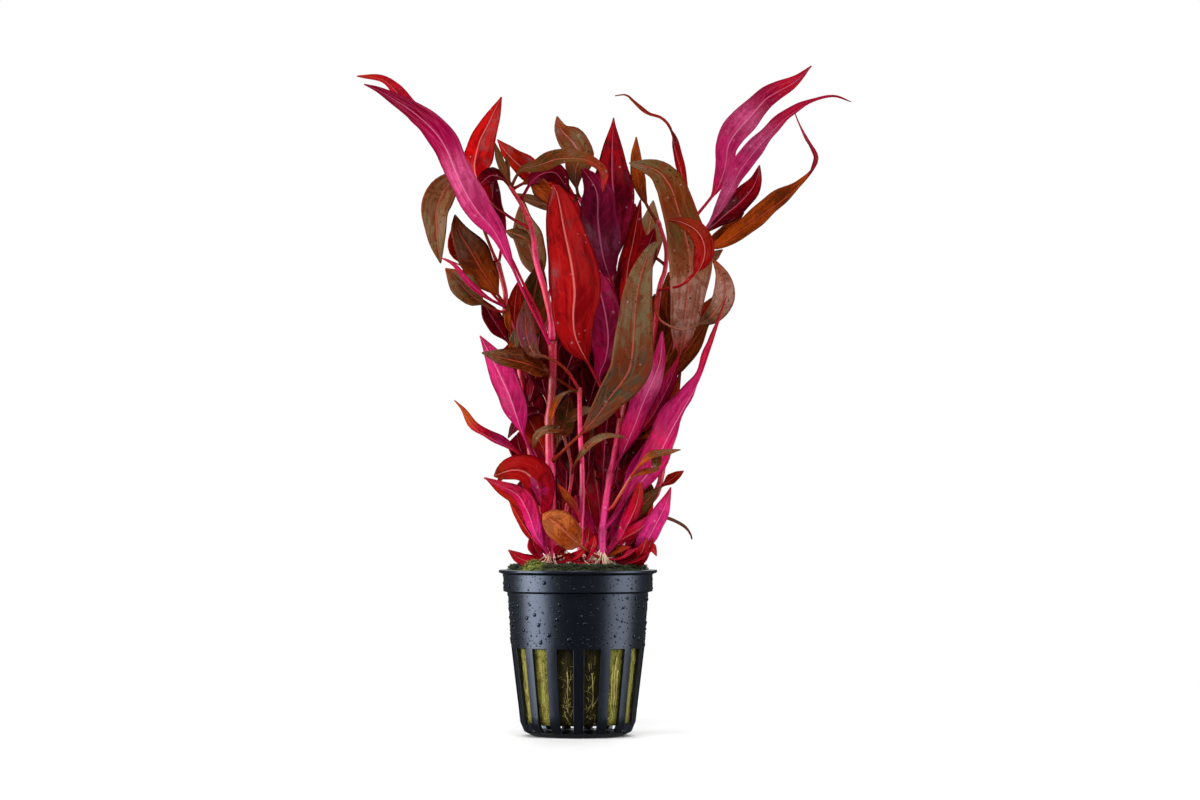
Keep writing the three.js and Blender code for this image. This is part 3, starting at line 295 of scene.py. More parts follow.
leafKinds = {
    "pink": dict(rib=(255, 150, 196), vein=(236, 92, 150), patch=(150, 14, 70), speck=(120, 8, 50),
        patchShare=0.62, patchSize=210.0, patchMix=0.42, speckMix=0.3, ribMix=0.75, veinMix=0.22,
        roughness=0.34, other="magenta red darkRed rust"),
    "red": dict(rib=(255, 150, 140), vein=(214, 50, 44), patch=(110, 4, 12), speck=(70, 4, 10),
        patchShare=0.5, patchSize=120.0, patchMix=0.55, speckMix=0.25, ribMix=0.75, veinMix=0.18,
        roughness=0.33, other="magenta red rust"),
    "crimson": dict(rib=(244, 110, 150), vein=(180, 30, 62), patch=(60, 4, 20), speck=(50, 4, 14),
        patchShare=0.6, patchSize=130.0, patchMix=0.6, speckMix=0.3, ribMix=0.7, veinMix=0.22,
        roughness=0.36, other="magenta crimson pinkCrimson"),
    "purple": dict(rib=(244, 130, 176), vein=(170, 50, 104), patch=(96, 8, 34), speck=(40, 6, 24),
        patchShare=0.55, patchSize=140.0, patchMix=0.55, speckMix=0.3, ribMix=0.7, veinMix=0.3,
        roughness=0.36, other="magenta purple magenta"),
    "olive": dict(rib=(226, 120, 104), vein=(168, 128, 84), patch=(132, 58, 22), speck=(36, 30, 14),
        patchShare=0.6, patchSize=150.0, patchMix=0.6, speckMix=0.8, ribMix=0.7, veinMix=0.18,
        roughness=0.4, other="magenta crimson magenta"),
    "rust": dict(rib=(222, 96, 70), vein=(206, 110, 48), patch=(84, 34, 12), speck=(52, 26, 12),
        patchShare=0.6, patchSize=150.0, patchMix=0.5, speckMix=0.45, ribMix=0.7, veinMix=0.16,
        roughness=0.38, other="magenta crimson magenta"),
}
# the standing drops on the leaves; rim is a painted highlight round each drop, and shade is painted shade that
# darkens every leaf, as the deep shade of a bunch does
leafDropsAndShade = {"size": 420.0, "share": 0.18, "rim": (0.9, 0.75, 0.78, 1), "shade": (0.66, 0.52, 0.54, 1)}


def leafMaterial(name, kind):
    material, tree, shader = newMaterial(name)
    tone, leafMap = plantInputs(tree)
    lines = useGroup(tree, veins, Map=leafMap)
    drawn = useGroup(tree, streaks, Map=leafMap, Across=9.0, Along=3.0)[0]
    spots = useGroup(tree, mottle, Patch_size=kind["patchSize"], Patch_share=kind["patchShare"])
    wet = useGroup(tree, drops, Size=leafDropsAndShade["size"], Share=leafDropsAndShade["share"])
    rib, vein, patch, speck = [paint(*kind[part]) for part in ("rib", "vein", "patch", "speck")]
    tinted = layered(tree, tone,
        (times(tree, spots["Patches"], kind["patchMix"]), patch),
        (times(tree, lines["Margin"], 0.45), patch),
        (ranged(tree, drawn, 0.5, 0.6, 0.0, kind["patchMix"]), patch),
        (ranged(tree, drawn, 0.44, 0.3, 0.0, 0.35), vein),
        (times(tree, lines["Veins"], kind["veinMix"]), vein),
        (times(tree, lines["Midrib"], kind["ribMix"]), rib),
        (times(tree, spots["Speckles"], kind["speckMix"]), speck),
        # painted highlight round the rims of the drops
        (times(tree, wet["Rims"], 0.35), leafDropsAndShade["rim"]))
    rough = ranged(tree, spots["Grain"], 0.35, 0.7, kind["roughness"] - 0.08, kind["roughness"] + 0.1)
    raised = maths(tree, "MULTIPLY_ADD", lines["Puckers"], 0.55, times(tree, spots["Grain"], 0.14))
    raised = maths(tree, "ADD", raised, times(tree, lines["Midrib"], 0.5))
    raised = maths(tree, "MULTIPLY_ADD", drawn, 0.5, raised)
    raised = maths(tree, "ADD", raised, times(tree, wet["Drops"], 1.2))
    # the wet film is broken, and doesn't shine where a leaf is seen edge-on
    facing = node(tree, "ShaderNodeLayerWeight", Blend=0.5).outputs["Facing"]
    film = ranged(tree, spots["Patches"], 0.2, 0.8, 0.35, 1.0)
    film = times(tree, film, ranged(tree, facing, 0.12, 0.5, 0.15, 0.0))
    # painted shade darkens the whole colour of every leaf
    fill(tree, shader, Base_Color=blendColours(tree, 1.0, tinted, leafDropsAndShade["shade"], "MULTIPLY"),
        Roughness=maths(tree, "SUBTRACT", rough, times(tree, wet["Drops"], 0.25)),
        Normal=bumped(tree, raised, 0.45, 0.0004), Specular_IOR_Level=0.0,
        Coat_Weight=maths(tree, "MULTIPLY_ADD", wet["Drops"], 0.45, film), Coat_Roughness=0.17)
    return material


leafMaterials = {name: leafMaterial("leaf_" + name, kind) for name, kind in leafKinds.items()}

# rim is a painted highlight round each standing drop on the stems
stemLook = {"pale": (246, 128, 166), "patch": (150, 8, 34), "rim": (0.95, 0.7, 0.78, 1),
    "shade": (0.94, 0.66, 0.84, 1)}


def stemMaterial():
    material, tree, shader = newMaterial("stem")
    tone, stemMap = plantInputs(tree)
    drawn = useGroup(tree, streaks, Map=stemMap, Across=26.0, Along=0.35)[0]
    spots = useGroup(tree, mottle, Patch_size=260.0, Patch_share=0.45)
    wet = useGroup(tree, drops, Size=420.0, Share=0.14)
    tinted = layered(tree, tone,
        (times(tree, ranged(tree, drawn, 0.5, 0.68), 0.22), paint(*stemLook["pale"])),
        (times(tree, spots["Patches"], 0.5), paint(*stemLook["patch"])),
        # painted highlight round the rims of the drops
        (times(tree, wet["Rims"], 0.4), stemLook["rim"]))
    raised = maths(tree, "MULTIPLY_ADD", drawn, 0.8, times(tree, wet["Drops"], 1.0))
    fill(tree, shader, Base_Color=blendColours(tree, 1.0, tinted, stemLook["shade"], "MULTIPLY"),
        Roughness=ranged(tree, spots["Grain"], 0.35, 0.7, 0.26, 0.42), Normal=bumped(tree, raised, 0.5, 0.0003),
        Coat_Weight=0.15, Coat_Roughness=0.2)
    return material


stemPaint = stemMaterial()
print("leaf and stem materials made")

# in millimetres, apart from the shares and counts
leafShape = {
    "alongStep": 1.7, "acrossCells": 12, "smallCells": 8, "smallWidth": 6, "stalkHalf": 0.55, "tipHalf": 0.25,
    "flare": 0.5, "belly": 0.88, "fold": 0.27, "waves": 0.11, "waveLength": 15, "ripples": 0.04,
    "edgeWaves": 0.05, "thick": 0.14, "stalkThick": 0.36, "ridge": 0.42, "groove": 0.12,
}


# half the width of a leaf at the share s of its length, in millimetres
def halfWidth(s, width, stalk, power):
    start = leafShape["stalkHalf"]
    if s <= stalk:
        return start * (1 + leafShape["flare"] * (1 - smooth(s, 0, 0.05)))
    q = (s - stalk) / (1 - stalk)
    narrow = start + (leafShape["tipHalf"] - start) * q
    return narrow + (width / 2 - 0.4) * math.sin(math.pi * q ** leafShape["belly"]) ** power


def newPlantMesh():
    bm = bmesh.new()
    bm.loops.layers.float_color.new("tone")
    bm.loops.layers.uv.new("leafMap")
    return bm


# a face with a tone and a place on the leaf's map at each corner
def addFace(bm, corners, tones, spots, material=0):
    toneLayer = bm.loops.layers.float_color["tone"]
    mapLayer = bm.loops.layers.uv["leafMap"]
    face = bm.faces.new(corners)
    face.material_index = material
    for loop, tone, spot in zip(face.loops, tones, spots):
        loop[toneLayer] = tone
        loop[mapLayer].uv = spot


# two sheets of vertices along the rib, joined at the sides and closed at both ends
def addLeaf(bm, rib, width, stalk, up, tones, other, seed, upTip=None, material=0, power=1.0):
    line = Line(rib)
    random.seed(seed)
    phases = [random.uniform(0, 6.28) for _ in range(4)]
    rows = max(14, round(line.length / leafShape["alongStep"]))
    cells = leafShape["acrossCells"] if width > leafShape["smallWidth"] else leafShape["smallCells"]
    upStart = Vector(up).normalized()
    upEnd = Vector(upTip or up).normalized()
    waveLength = leafShape["waveLength"] + width
    upper, lower = [], []
    for i in range(rows + 1):
        s = i / rows
        way = line.way(s)
        top = upStart.lerp(upEnd, smooth(s, 0.1, 0.9))
        top = (top - way * top.dot(way)).normalized()
        side = way.cross(top)
        centre = line.at(s)
        half = halfWidth(s, width, stalk, power)
        blade = smooth(s, stalk, stalk + 0.08)
        wide = half * (1 + blade * leafShape["edgeWaves"] * math.sin(s * 19 + phases[2]))
        thick = leafShape["thick"] + leafShape["stalkThick"] * (1 - blade) * (1 - 0.4 * s)
        ridge = (leafShape["ridge"] - 0.3 * s) * blade
        above, below = [], []
        for j in range(cells + 1):
            x = 2 * j / cells - 1
            x = math.copysign(abs(x) ** 0.9, x)
            phase = phases[0] if x < 0 else phases[1]
            turn = s * line.length / waveLength
            wave = math.sin(turn * 6.28 + phase) * abs(x) ** 2 * leafShape["waves"]
            wave += math.sin(turn * 15.1 + phases[3] + x) * abs(x) ** 3 * leafShape["ripples"]
            lift = (math.sqrt(x * x + 0.01) - 0.1) * leafShape["fold"] * (half - leafShape["stalkHalf"])
            lift += wave * (half - leafShape["stalkHalf"])
            spot = centre + side * (x * wide) + top * lift
            if j in (0, cells):
                vert = bm.verts.new(spot * mm)
                above.append(vert)
                below.append(vert)
                continue
            high = thick * (math.sqrt(max(0, 1 - x * x)) * (1 - blade) + (1 - x**6) * blade)
            low = high + ridge * math.exp(-((x * half / 0.5) ** 2))
            dip = leafShape["groove"] * blade * math.exp(-((x * half / 0.45) ** 2))
            above.append(bm.verts.new((spot + top * (high - dip)) * mm))
            below.append(bm.verts.new((spot - top * low) * mm))
        upper.append(above)
        lower.append(below)
    # the tones go on the side that faces the front
    names = (tones, other) if upStart.y < 0 else (other, tones)
    upperTones, lowerTones = [[toneAt(words, i / rows) for i in range(rows + 1)] for words in names]
    sheets = ((upper, upperTones, (0, 1, 2, 3)), (lower, lowerTones, (0, 3, 2, 1)))
    for i in range(rows):
        for j in range(cells):
            square = ((i, j), (i, j + 1), (i + 1, j + 1), (i + 1, j))
            for sheet, colours, order in sheets:
                spots = [square[k] for k in order]
                addFace(bm, [sheet[a][b] for a, b in spots], [colours[a] for a, _ in spots],
                    [(b / cells, a / rows) for a, b in spots], material)
    for i in (0, rows):
        for j in range(cells):
            ring = list(dict.fromkeys((upper[i][j], upper[i][j + 1], lower[i][j + 1], lower[i][j])))
            if i == 0:
                ring.reverse()
            addFace(bm, ring, [lowerTones[i]] * 4, [(0.5, i / rows)] * 4, material)


# leaves that are pieces of their own, in millimetres: stalk is the share of the midrib that has no blade,
# up and upTip are the way the upper side faces, and the tones go from stalk to tip
leaves = {
    "leaf_left_long_pink": dict(kind="pink", width=12, stalk=0.27, up=(0.5, 0.8, 0.3),
        tones="hotPink pinkRed pink pink palePink magenta crimson crimson", rib=[(-9.2, -10.6, 135.2),
        (-12.6, -12.8, 142), (-18.7, -15, 154), (-23.6, -17, 165), (-28.5, -19, 175), (-35.2, -21, 183),
        (-40.7, -22, 192.7), (-46.4, -23, 205.5), (-55, -24, 214.7), (-67, -25, 222.5), (-73.5, -25, 225.4)]),
    "leaf_left_long_red": dict(kind="red", width=11, stalk=0.3, power=0.75, up=(0.6, -0.7, 0.4),
        tones="hotPink pinkRed red red pink pinkRed orangeRed", rib=[(-9.4, -9.4, 134), (-12.8, -8.8, 145),
        (-18.7, -9, 157), (-24, -9, 168), (-31, -9, 180), (-40, -9, 191.5), (-46.4, -8, 203),
        (-53.4, -5, 213), (-59.4, -3, 220), (-68, 1, 229.4), (-78, 5, 231.8)]),
    "leaf_left_drooping_olive": dict(kind="olive", width=11, stalk=0.42, up=(-0.3, -1, 0.2),
        tones="pinkRed rust oliveGrey tan oliveGrey olive", rib=[(-28.4, 0, 165.4), (-33, 3, 177),
        (-37, 5, 189), (-42, 4, 195), (-47, 2, 191), (-49.5, 0, 184), (-49.5, -2, 177), (-49, -3, 171),
        (-48, -4, 165)]),
    "leaf_left_orange": dict(kind="rust", width=12, stalk=0.15, up=(0.2, -1, 0.1),
        tones="orangeRed orange rust greyBrown brown", rib=[(-25.5, 1.4, 150.5), (-30, -3, 157),
        (-34, -5, 163), (-38, -6, 170), (-41.5, -6, 176), (-43, -5, 182)]),
    "leaf_left_olive_small": dict(kind="olive", width=11, stalk=0.4, up=(0.2, -1, 0.4),
        tones="hotPink pinkRed olive olive oliveGrey orange", rib=[(-25.3, 2, 148), (-30, -4, 149),
        (-35, -6, 152), (-38, -7, 154.5), (-42, -8, 159), (-46.2, -8, 163)]),
    "leaf_top_left_red": dict(kind="red", width=11.5, stalk=0.3, up=(0.4, 0.9, 0.1),
        tones="pinkRed maroon brightRed brightRed red", rib=[(-16.1, -7.5, 176.6), (-22, -4, 180),
        (-26.3, -3, 183), (-30.3, -1, 186.6), (-36, 1, 197), (-35, 4, 207), (-32, 8, 214.4),
        (-27.2, 12, 225)]),
    "leaf_top_red_leaning": dict(kind="red", width=9.5, stalk=0.2, up=(0.2, 0.9, 0.5),
        tones="pinkRed brightRed red orangeRed red", rib=[(-0.5, 5, 189), (-8, 4, 193), (-14, 6, 196),
        (-20, 9, 200), (-25, 13, 205), (-28.7, 17, 210.4)]),
    "leaf_top_olive_arching": dict(kind="olive", width=8, stalk=0.12, up=(0, -1, 0.4), upTip=(0, -0.6, 1),
        tones="rust olive green olive red pinkRed", rib=[(-23.4, -7, 191.4), (-19.9, -9, 197),
        (-13.7, -12, 198.5), (-7, -14, 200.5), (0, -16, 200.5), (5, -17, 199), (9, -17.5, 195.5),
        (8.6, -17.5, 189)]),
    "leaf_top_olive_upright": dict(kind="olive", width=10.5, stalk=0.12, up=(0.1, -1, 0.1),
        tones="rust greyBrown olive oliveGrey rust orange", rib=[(0, 4.6, 189), (-1, 1, 197), (0.5, 2, 203),
        (-2, 5, 208.5), (-6, 8, 213), (-7.5, 10, 218)]),
    "leaf_top_crimson": dict(kind="crimson", width=14, stalk=0.15, power=1.25, up=(0.1, 1, 0),
        tones="crimson crimson pinkCrimson crimson red red", rib=[(13, 5.4, 157.6), (13, 2, 172),
        (12.8, 1, 185), (12, 1, 196), (12, 3, 206), (12.5, 6, 217)]),
    "leaf_top_purple": dict(kind="purple", width=14.5, stalk=0.12, power=0.75, up=(0.2, 1, 0),
        tones="hotPink purple purpleGrey purple purple crimson", rib=[(12.8, 5.4, 156.6), (9.7, -1, 164.6),
        (8.2, -4, 171), (7, -6, 180), (6.5, -7, 190), (1.5, -8, 198)]),
    "leaf_top_orange": dict(kind="rust", width=5, stalk=0.25, up=(0, 1, 0.1), tones="rust rust orange orange",
        rib=[(28, 8, 180), (24, 10, 187), (21.5, 12, 195), (20.5, 14, 203), (20.6, 17, 211.3)]),
    "leaf_right_olive_arching": dict(kind="olive", width=14.5, stalk=0.14, power=0.7, up=(0.1, -1, 0.1),
        tones="hotPink pinkRed paleGrey paleGrey tan olive rust olive oliveGrey", rib=[(32.8, 2.4, 124),
        (35.2, -3, 131), (37, -8, 144), (38.4, -10, 156), (39, -10.5, 166), (37.2, -11, 175), (34, -12, 186),
        (31.7, -12, 192), (27, -12, 197), (17.8, -12, 199.4)]),
    "leaf_right_red_folded": dict(kind="red", width=7.5, stalk=0.4, up=(0.2, -1, 0.5), upTip=(-0.2, 1, 0.4),
        tones="orange orangeRed red brightRed pinkRed red", rib=[(28.4, 3.4, 156), (32, -9, 156),
        (36.5, -16, 157), (42, -18, 162.4), (43.9, -18, 169), (41.5, -17.5, 175), (36, -17, 178.4),
        (30.4, -17, 179.5)]),
    "leaf_front_olive": dict(kind="olive", width=14, stalk=0.17, up=(0.2, -1, 0.1),
        tones="darkRed red greyBrown greyGreen greyBrown oliveGrey oliveGrey oliveGrey greenGrey",
        rib=[(-8.8, -11, 95.6), (-3.5, -14.5, 100.8), (2, -16.5, 106), (6.5, -18, 111), (11.8, -20, 118.5),
        (15.4, -22, 123), (18.3, -24, 129), (19.4, -27, 142), (20.1, -28, 151), (22, -28, 160),
        (25, -27, 168), (29.4, -26, 172)]),
    "leaf_front_red": dict(kind="red", width=17.4, stalk=0.3, power=0.62, up=(0.1, 1, 0.1),
        tones="pinkRed pinkRed darkRed red red red red red", rib=[(14.8, -3.6, 110.6), (8.5, -12, 120.5),
        (4, -16, 129), (-0.5, -18, 138), (-1.5, -19, 146), (-1, -19, 154), (-2.2, -18, 164), (-4.7, -16, 176),
        (-7, -14, 188), (-9, -13, 192)]),
    "leaf_middle_magenta": dict(kind="purple", width=12.5, stalk=0.25, up=(-0.2, 1, 0.1),
        tones="pinkRed magenta magenta purple magenta purple", rib=[(15.1, -2.8, 111.4), (10, -5, 118),
        (7.4, -7, 125), (9.5, -8, 131), (10.5, -8, 138), (9.5, -8, 147), (7, -8, 157), (3, -8, 168)]),
    "leaf_right_pink_front": dict(kind="pink", width=9.5, stalk=0.15, up=(-0.4, 0.9, 0.2),
        tones="magenta magenta hotPink pink palePink magenta pink", rib=[(11.6, -7.4, 90.4), (16, -12, 100),
        (19.5, -14, 108), (22.5, -15, 116), (26, -15, 124), (28.5, -14, 131), (29.3, -12, 140.8)]),
    "leaf_right_long_pink": dict(kind="pink", width=16, stalk=0.15, power=0.75, up=(-0.5, 0.9, 0.2),
        upTip=(-1, 0, 0.3), tones="neon magenta pink hotPink pink pink pinkRed orangeRed orange",
        rib=[(8.8, -9.5, 71.5), (13.8, -11, 77.2), (17.6, -11, 84), (23.8, -11, 91), (28, -11, 98),
        (32, -10, 106), (37, -9, 115), (42, -8, 124), (46, -8, 135), (49.2, -8.5, 145), (51.8, -9, 153.4)]),
    "leaf_top_right_pink": dict(kind="pink", width=10.5, stalk=0.14, up=(-0.4, 0.9, 0.3),
        tones="pinkRed pinkRed pink pink palePink pinkCrimson brightRed red", rib=[(40.7, 2.7, 181.2),
        (44.3, 3, 185.5), (47.9, 4, 190.3), (50.3, 5, 195.5), (51.9, 6, 201), (52.7, 7, 207), (55.5, 9, 212),
        (60.3, 11, 217.5), (65.9, 13, 224), (70.3, 14, 227), (77, 16, 231), (82.9, 18, 236.8)]),
    "leaf_top_right_pink_curved": dict(kind="pink", width=8.6, stalk=0.15, up=(-0.4, 0.9, 0.3),
        upTip=(-0.1, 0.2, 1), tones="hotPink palePink palePink pink palePink pinkRed pinkRed red",
        rib=[(41, 2.4, 172), (46, -4, 179), (49.5, -8, 184.3), (53, -11, 190.7), (56.3, -14, 196.7),
        (61, -17, 203), (66, -19, 208.5), (72, -21, 214.5), (80, -22, 219.3), (88, -22, 221.5),
        (94.4, -21, 219.9)]),
    "leaf_top_right_dark": dict(kind="crimson", width=10, stalk=0.15, up=(-0.3, -1, 0.6),
        tones="darkRed maroon darkRed red", rib=[(41, 3.2, 174), (46, 5, 177.5), (51, 6, 182), (58, 7, 188),
        (62.5, 8, 194), (64, 8, 200.5)]),
    "leaf_right_rust": dict(kind="rust", width=11, stalk=0.08, power=0.72, up=(-0.3, -1, 0.6),
        upTip=(-1, 0.2, 0.2), tones="orangeRed orange orange rust orange pinkRed pink",
        rib=[(40.8, 2.8, 169.4), (50, 0, 172), (57, -2, 176.5), (64, -4, 181.5), (71, -6, 186.5),
        (77, -8, 191.5), (82, -9, 197.5), (83.5, -9, 202), (80.5, -8, 207.5), (77.5, -7, 213),
        (75.5, -6, 218)]),
    "leaf_top_right_hooked": dict(kind="red", width=4, stalk=0.1, up=(0.3, 0.9, 0.1), upTip=(0, -0.6, 1),
        tones="pinkRed red red crimson oliveGrey olive maroon", rib=[(40.4, 3.2, 181.6), (38.4, 5, 188),
        (36.5, 7, 198), (34.5, 9, 206), (32.8, 10, 213), (29.5, 11, 217.3), (24.5, 11, 219), (20, 12, 223),
        (17, 12, 225.8), (13, 13, 225.7)]),
    "leaf_right_looping": dict(kind="olive", width=8, stalk=0.5, up=(0.9, -0.4, 0.3), upTip=(0.2, -1, 0.1),
        tones="pinkRed orange paleGrey oliveGrey paleGrey orange", rib=[(28.3, 3.6, 154.6), (26.9, -4, 150),
        (29, -9, 144.5), (36, -11, 141.5), (43, -8, 144), (48, -2, 148), (51, 1, 154), (50.5, 2, 161),
        (47, 2, 167.5)]),
    "leaf_right_orange_behind": dict(kind="rust", width=8, stalk=0.25, up=(0.1, -1, 0.2),
        tones="rust orange rust rust", rib=[(32.9, 3.4, 125), (31.5, 9, 135), (31, 11, 145), (31.5, 12, 156),
        (32, 12, 163)]),
    "leaf_left_pink_low": dict(kind="pink", width=11.5, stalk=0.3, up=(0.5, 0.9, 0.2),
        tones="hotPink magenta magentaPink pink pink magenta", rib=[(-9.9, -9.6, 92), (-15, -9.5, 97),
        (-18.5, -9.5, 104), (-21.3, -10, 112), (-23.8, -10, 119), (-27.1, -9, 126), (-31, -8, 134),
        (-34.1, -6, 139.5)]),
    "leaf_left_rust_front": dict(kind="rust", width=10.5, stalk=0.3, up=(0, -1, 0.5),
        tones="red rust rust brown oliveGrey", rib=[(0.3, -10.6, 119.4), (-5, -6, 123), (-10.2, -6, 126.6),
        (-18, -14, 129.5), (-25, -20, 131), (-33, -22, 133)]),
    "leaf_left_brown_upright": dict(kind="olive", width=7.5, stalk=0.45, up=(0.3, -1, 0.1),
        tones="pinkRed red greyBrown purpleGrey greyBrown", rib=[(0.4, -11.3, 120.8), (-3.3, -13.5, 126.6),
        (-6.9, -14.4, 129.8), (-10.5, -14.4, 131.6), (-15.5, -13, 133.5), (-18, -11, 141),
        (-18.5, -10, 152)]),
    "leaf_far_left_pink": dict(kind="red", width=6, stalk=0.15, up=(0.3, 0.6, 0.8),
        tones="hotPink pinkRed magentaPink pinkRed orange orange", rib=[(-17, 7.4, 97), (-20, 3, 98.5),
        (-25, 0, 101.5), (-31, -2, 104.5), (-36.5, -3, 108), (-40, -3, 113.5), (-43.1, -2, 117.2)]),
    "leaf_low_left_curled": dict(kind="red", width=14, stalk=0.3, power=0.7, up=(0.1, -1, 0.2),
        upTip=(0.1, -0.8, 0.5), tones="neon magenta pinkRed pinkRed red red rust", rib=[(-9.2, -8.4, 64.6),
        (-12.6, -12, 76), (-14, -13, 84), (-15.5, -15, 89), (-18.5, -17, 92), (-23, -18, 92.5),
        (-29, -18, 90.5)]),
    "leaf_low_left_pink": dict(kind="pink", width=7.5, stalk=0.15, up=(0.4, 0.7, 0.5),
        tones="neon neon hotPink pinkRed orangeRed", rib=[(-9.3, -8.3, 62.4), (-14, -13, 70), (-17, -16, 78),
        (-20.5, -18, 84), (-26, -19, 87), (-32.3, -19, 90)]),
    "leaf_low_front_orange": dict(kind="olive", width=11, stalk=0.44, power=0.5, up=(-0.1, -1, 0.3),
        tones="hotPink pinkRed amber orange amber amber", rib=[(8.5, -9.4, 61.9), (3.9, -15, 64.2),
        (-0.5, -18, 67.7), (-3.3, -19, 70.2), (-6.5, -19, 73.6), (-12, -18, 77.5)]),
    "leaf_low_right_pink": dict(kind="pink", width=8, stalk=0.25, up=(-0.5, 0.9, 0.2),
        tones="hotPink neon neon neon pinkRed", rib=[(12.2, -0.3, 62), (19.5, -7, 62.8), (23.8, -10, 68),
        (26.5, -11, 73), (29.5, -12, 79), (31.5, -12, 84), (32.2, -11, 86.7)]),
    "leaf_back_low_left": dict(kind="crimson", width=11, stalk=0.2, up=(-0.2, -0.7, 0.8),
        tones="pinkRed crimson darkRed crimson", rib=[(-9, 16.4, 84), (-12, 24, 92), (-16, 33, 100),
        (-19, 42, 106), (-21, 50, 108)]),
    "leaf_back_low_middle": dict(kind="crimson", width=11, stalk=0.2, up=(0.2, -0.7, 0.8),
        tones="pinkRed darkRed crimson red", rib=[(-8.8, 16.4, 85), (-4, 25, 92), (0, 34, 100), (2, 43, 105),
        (3, 51, 106)]),
    "leaf_back_left": dict(kind="crimson", width=12, stalk=0.2, up=(-0.2, -0.7, 0.8),
        tones="pinkRed crimson red crimson", rib=[(-11, 19.4, 112), (-16, 27, 121), (-21, 36, 130),
        (-24, 44, 136), (-26, 52, 139)]),
    "leaf_back_middle": dict(kind="red", width=12, stalk=0.2, up=(0.2, -0.7, 0.8),
        tones="pinkRed red brightRed red", rib=[(-10.8, 19.4, 113), (-6, 28, 122), (-3, 37, 132),
        (-2, 46, 138), (-1, 54, 141)]),
    "leaf_back_top_left": dict(kind="olive", width=11, stalk=0.2, up=(0.1, -0.9, 0.5),
        tones="rust olive oliveGrey rust", rib=[(-11, 24, 154.6), (-15, 30, 165), (-18, 35, 175),
        (-20, 38, 184), (-20, 40, 191)]),
    "leaf_back_top_middle": dict(kind="crimson", width=12, stalk=0.2, up=(0, -0.9, 0.5),
        tones="pinkRed crimson darkRed red", rib=[(-10.9, 24, 155.2), (-6, 31, 168), (-4, 37, 180),
        (-4, 41, 190), (-5, 43, 199)]),
    "leaf_back_low_right": dict(kind="crimson", width=12, stalk=0.2, up=(0.2, -0.7, 0.8),
        tones="pinkRed crimson crimson darkRed", rib=[(10.1, 18.3, 88), (17, 26, 96), (22, 34, 104),
        (26, 42, 110), (28, 50, 113)]),
    "leaf_back_low_centre": dict(kind="red", width=10, stalk=0.2, up=(-0.2, -0.7, 0.8),
        tones="pinkRed red red orangeRed", rib=[(10, 18.2, 87), (7, 27, 94), (8, 36, 100), (10, 45, 104),
        (11, 52, 105)]),
    "leaf_back_right": dict(kind="crimson", width=12, stalk=0.2, up=(0.2, -0.7, 0.8),
        tones="pinkRed crimson red crimson", rib=[(13, 21.2, 115), (20, 29, 124), (26, 37, 133),
        (30, 44, 140), (33, 51, 144)]),
    "leaf_back_centre": dict(kind="olive", width=12, stalk=0.2, up=(-0.1, -0.7, 0.8),
        tones="rust olive rust oliveGrey", rib=[(13, 21.4, 116), (10, 30, 126), (10, 39, 135), (11, 47, 141),
        (12, 54, 144)]),
    "leaf_back_top_right": dict(kind="olive", width=12, stalk=0.2, up=(-0.1, -0.9, 0.5),
        tones="rust rust olive oliveGrey", rib=[(15, 24.6, 149.8), (20, 31, 162), (24, 37, 173),
        (26, 41, 183), (27, 44, 191)]),
}
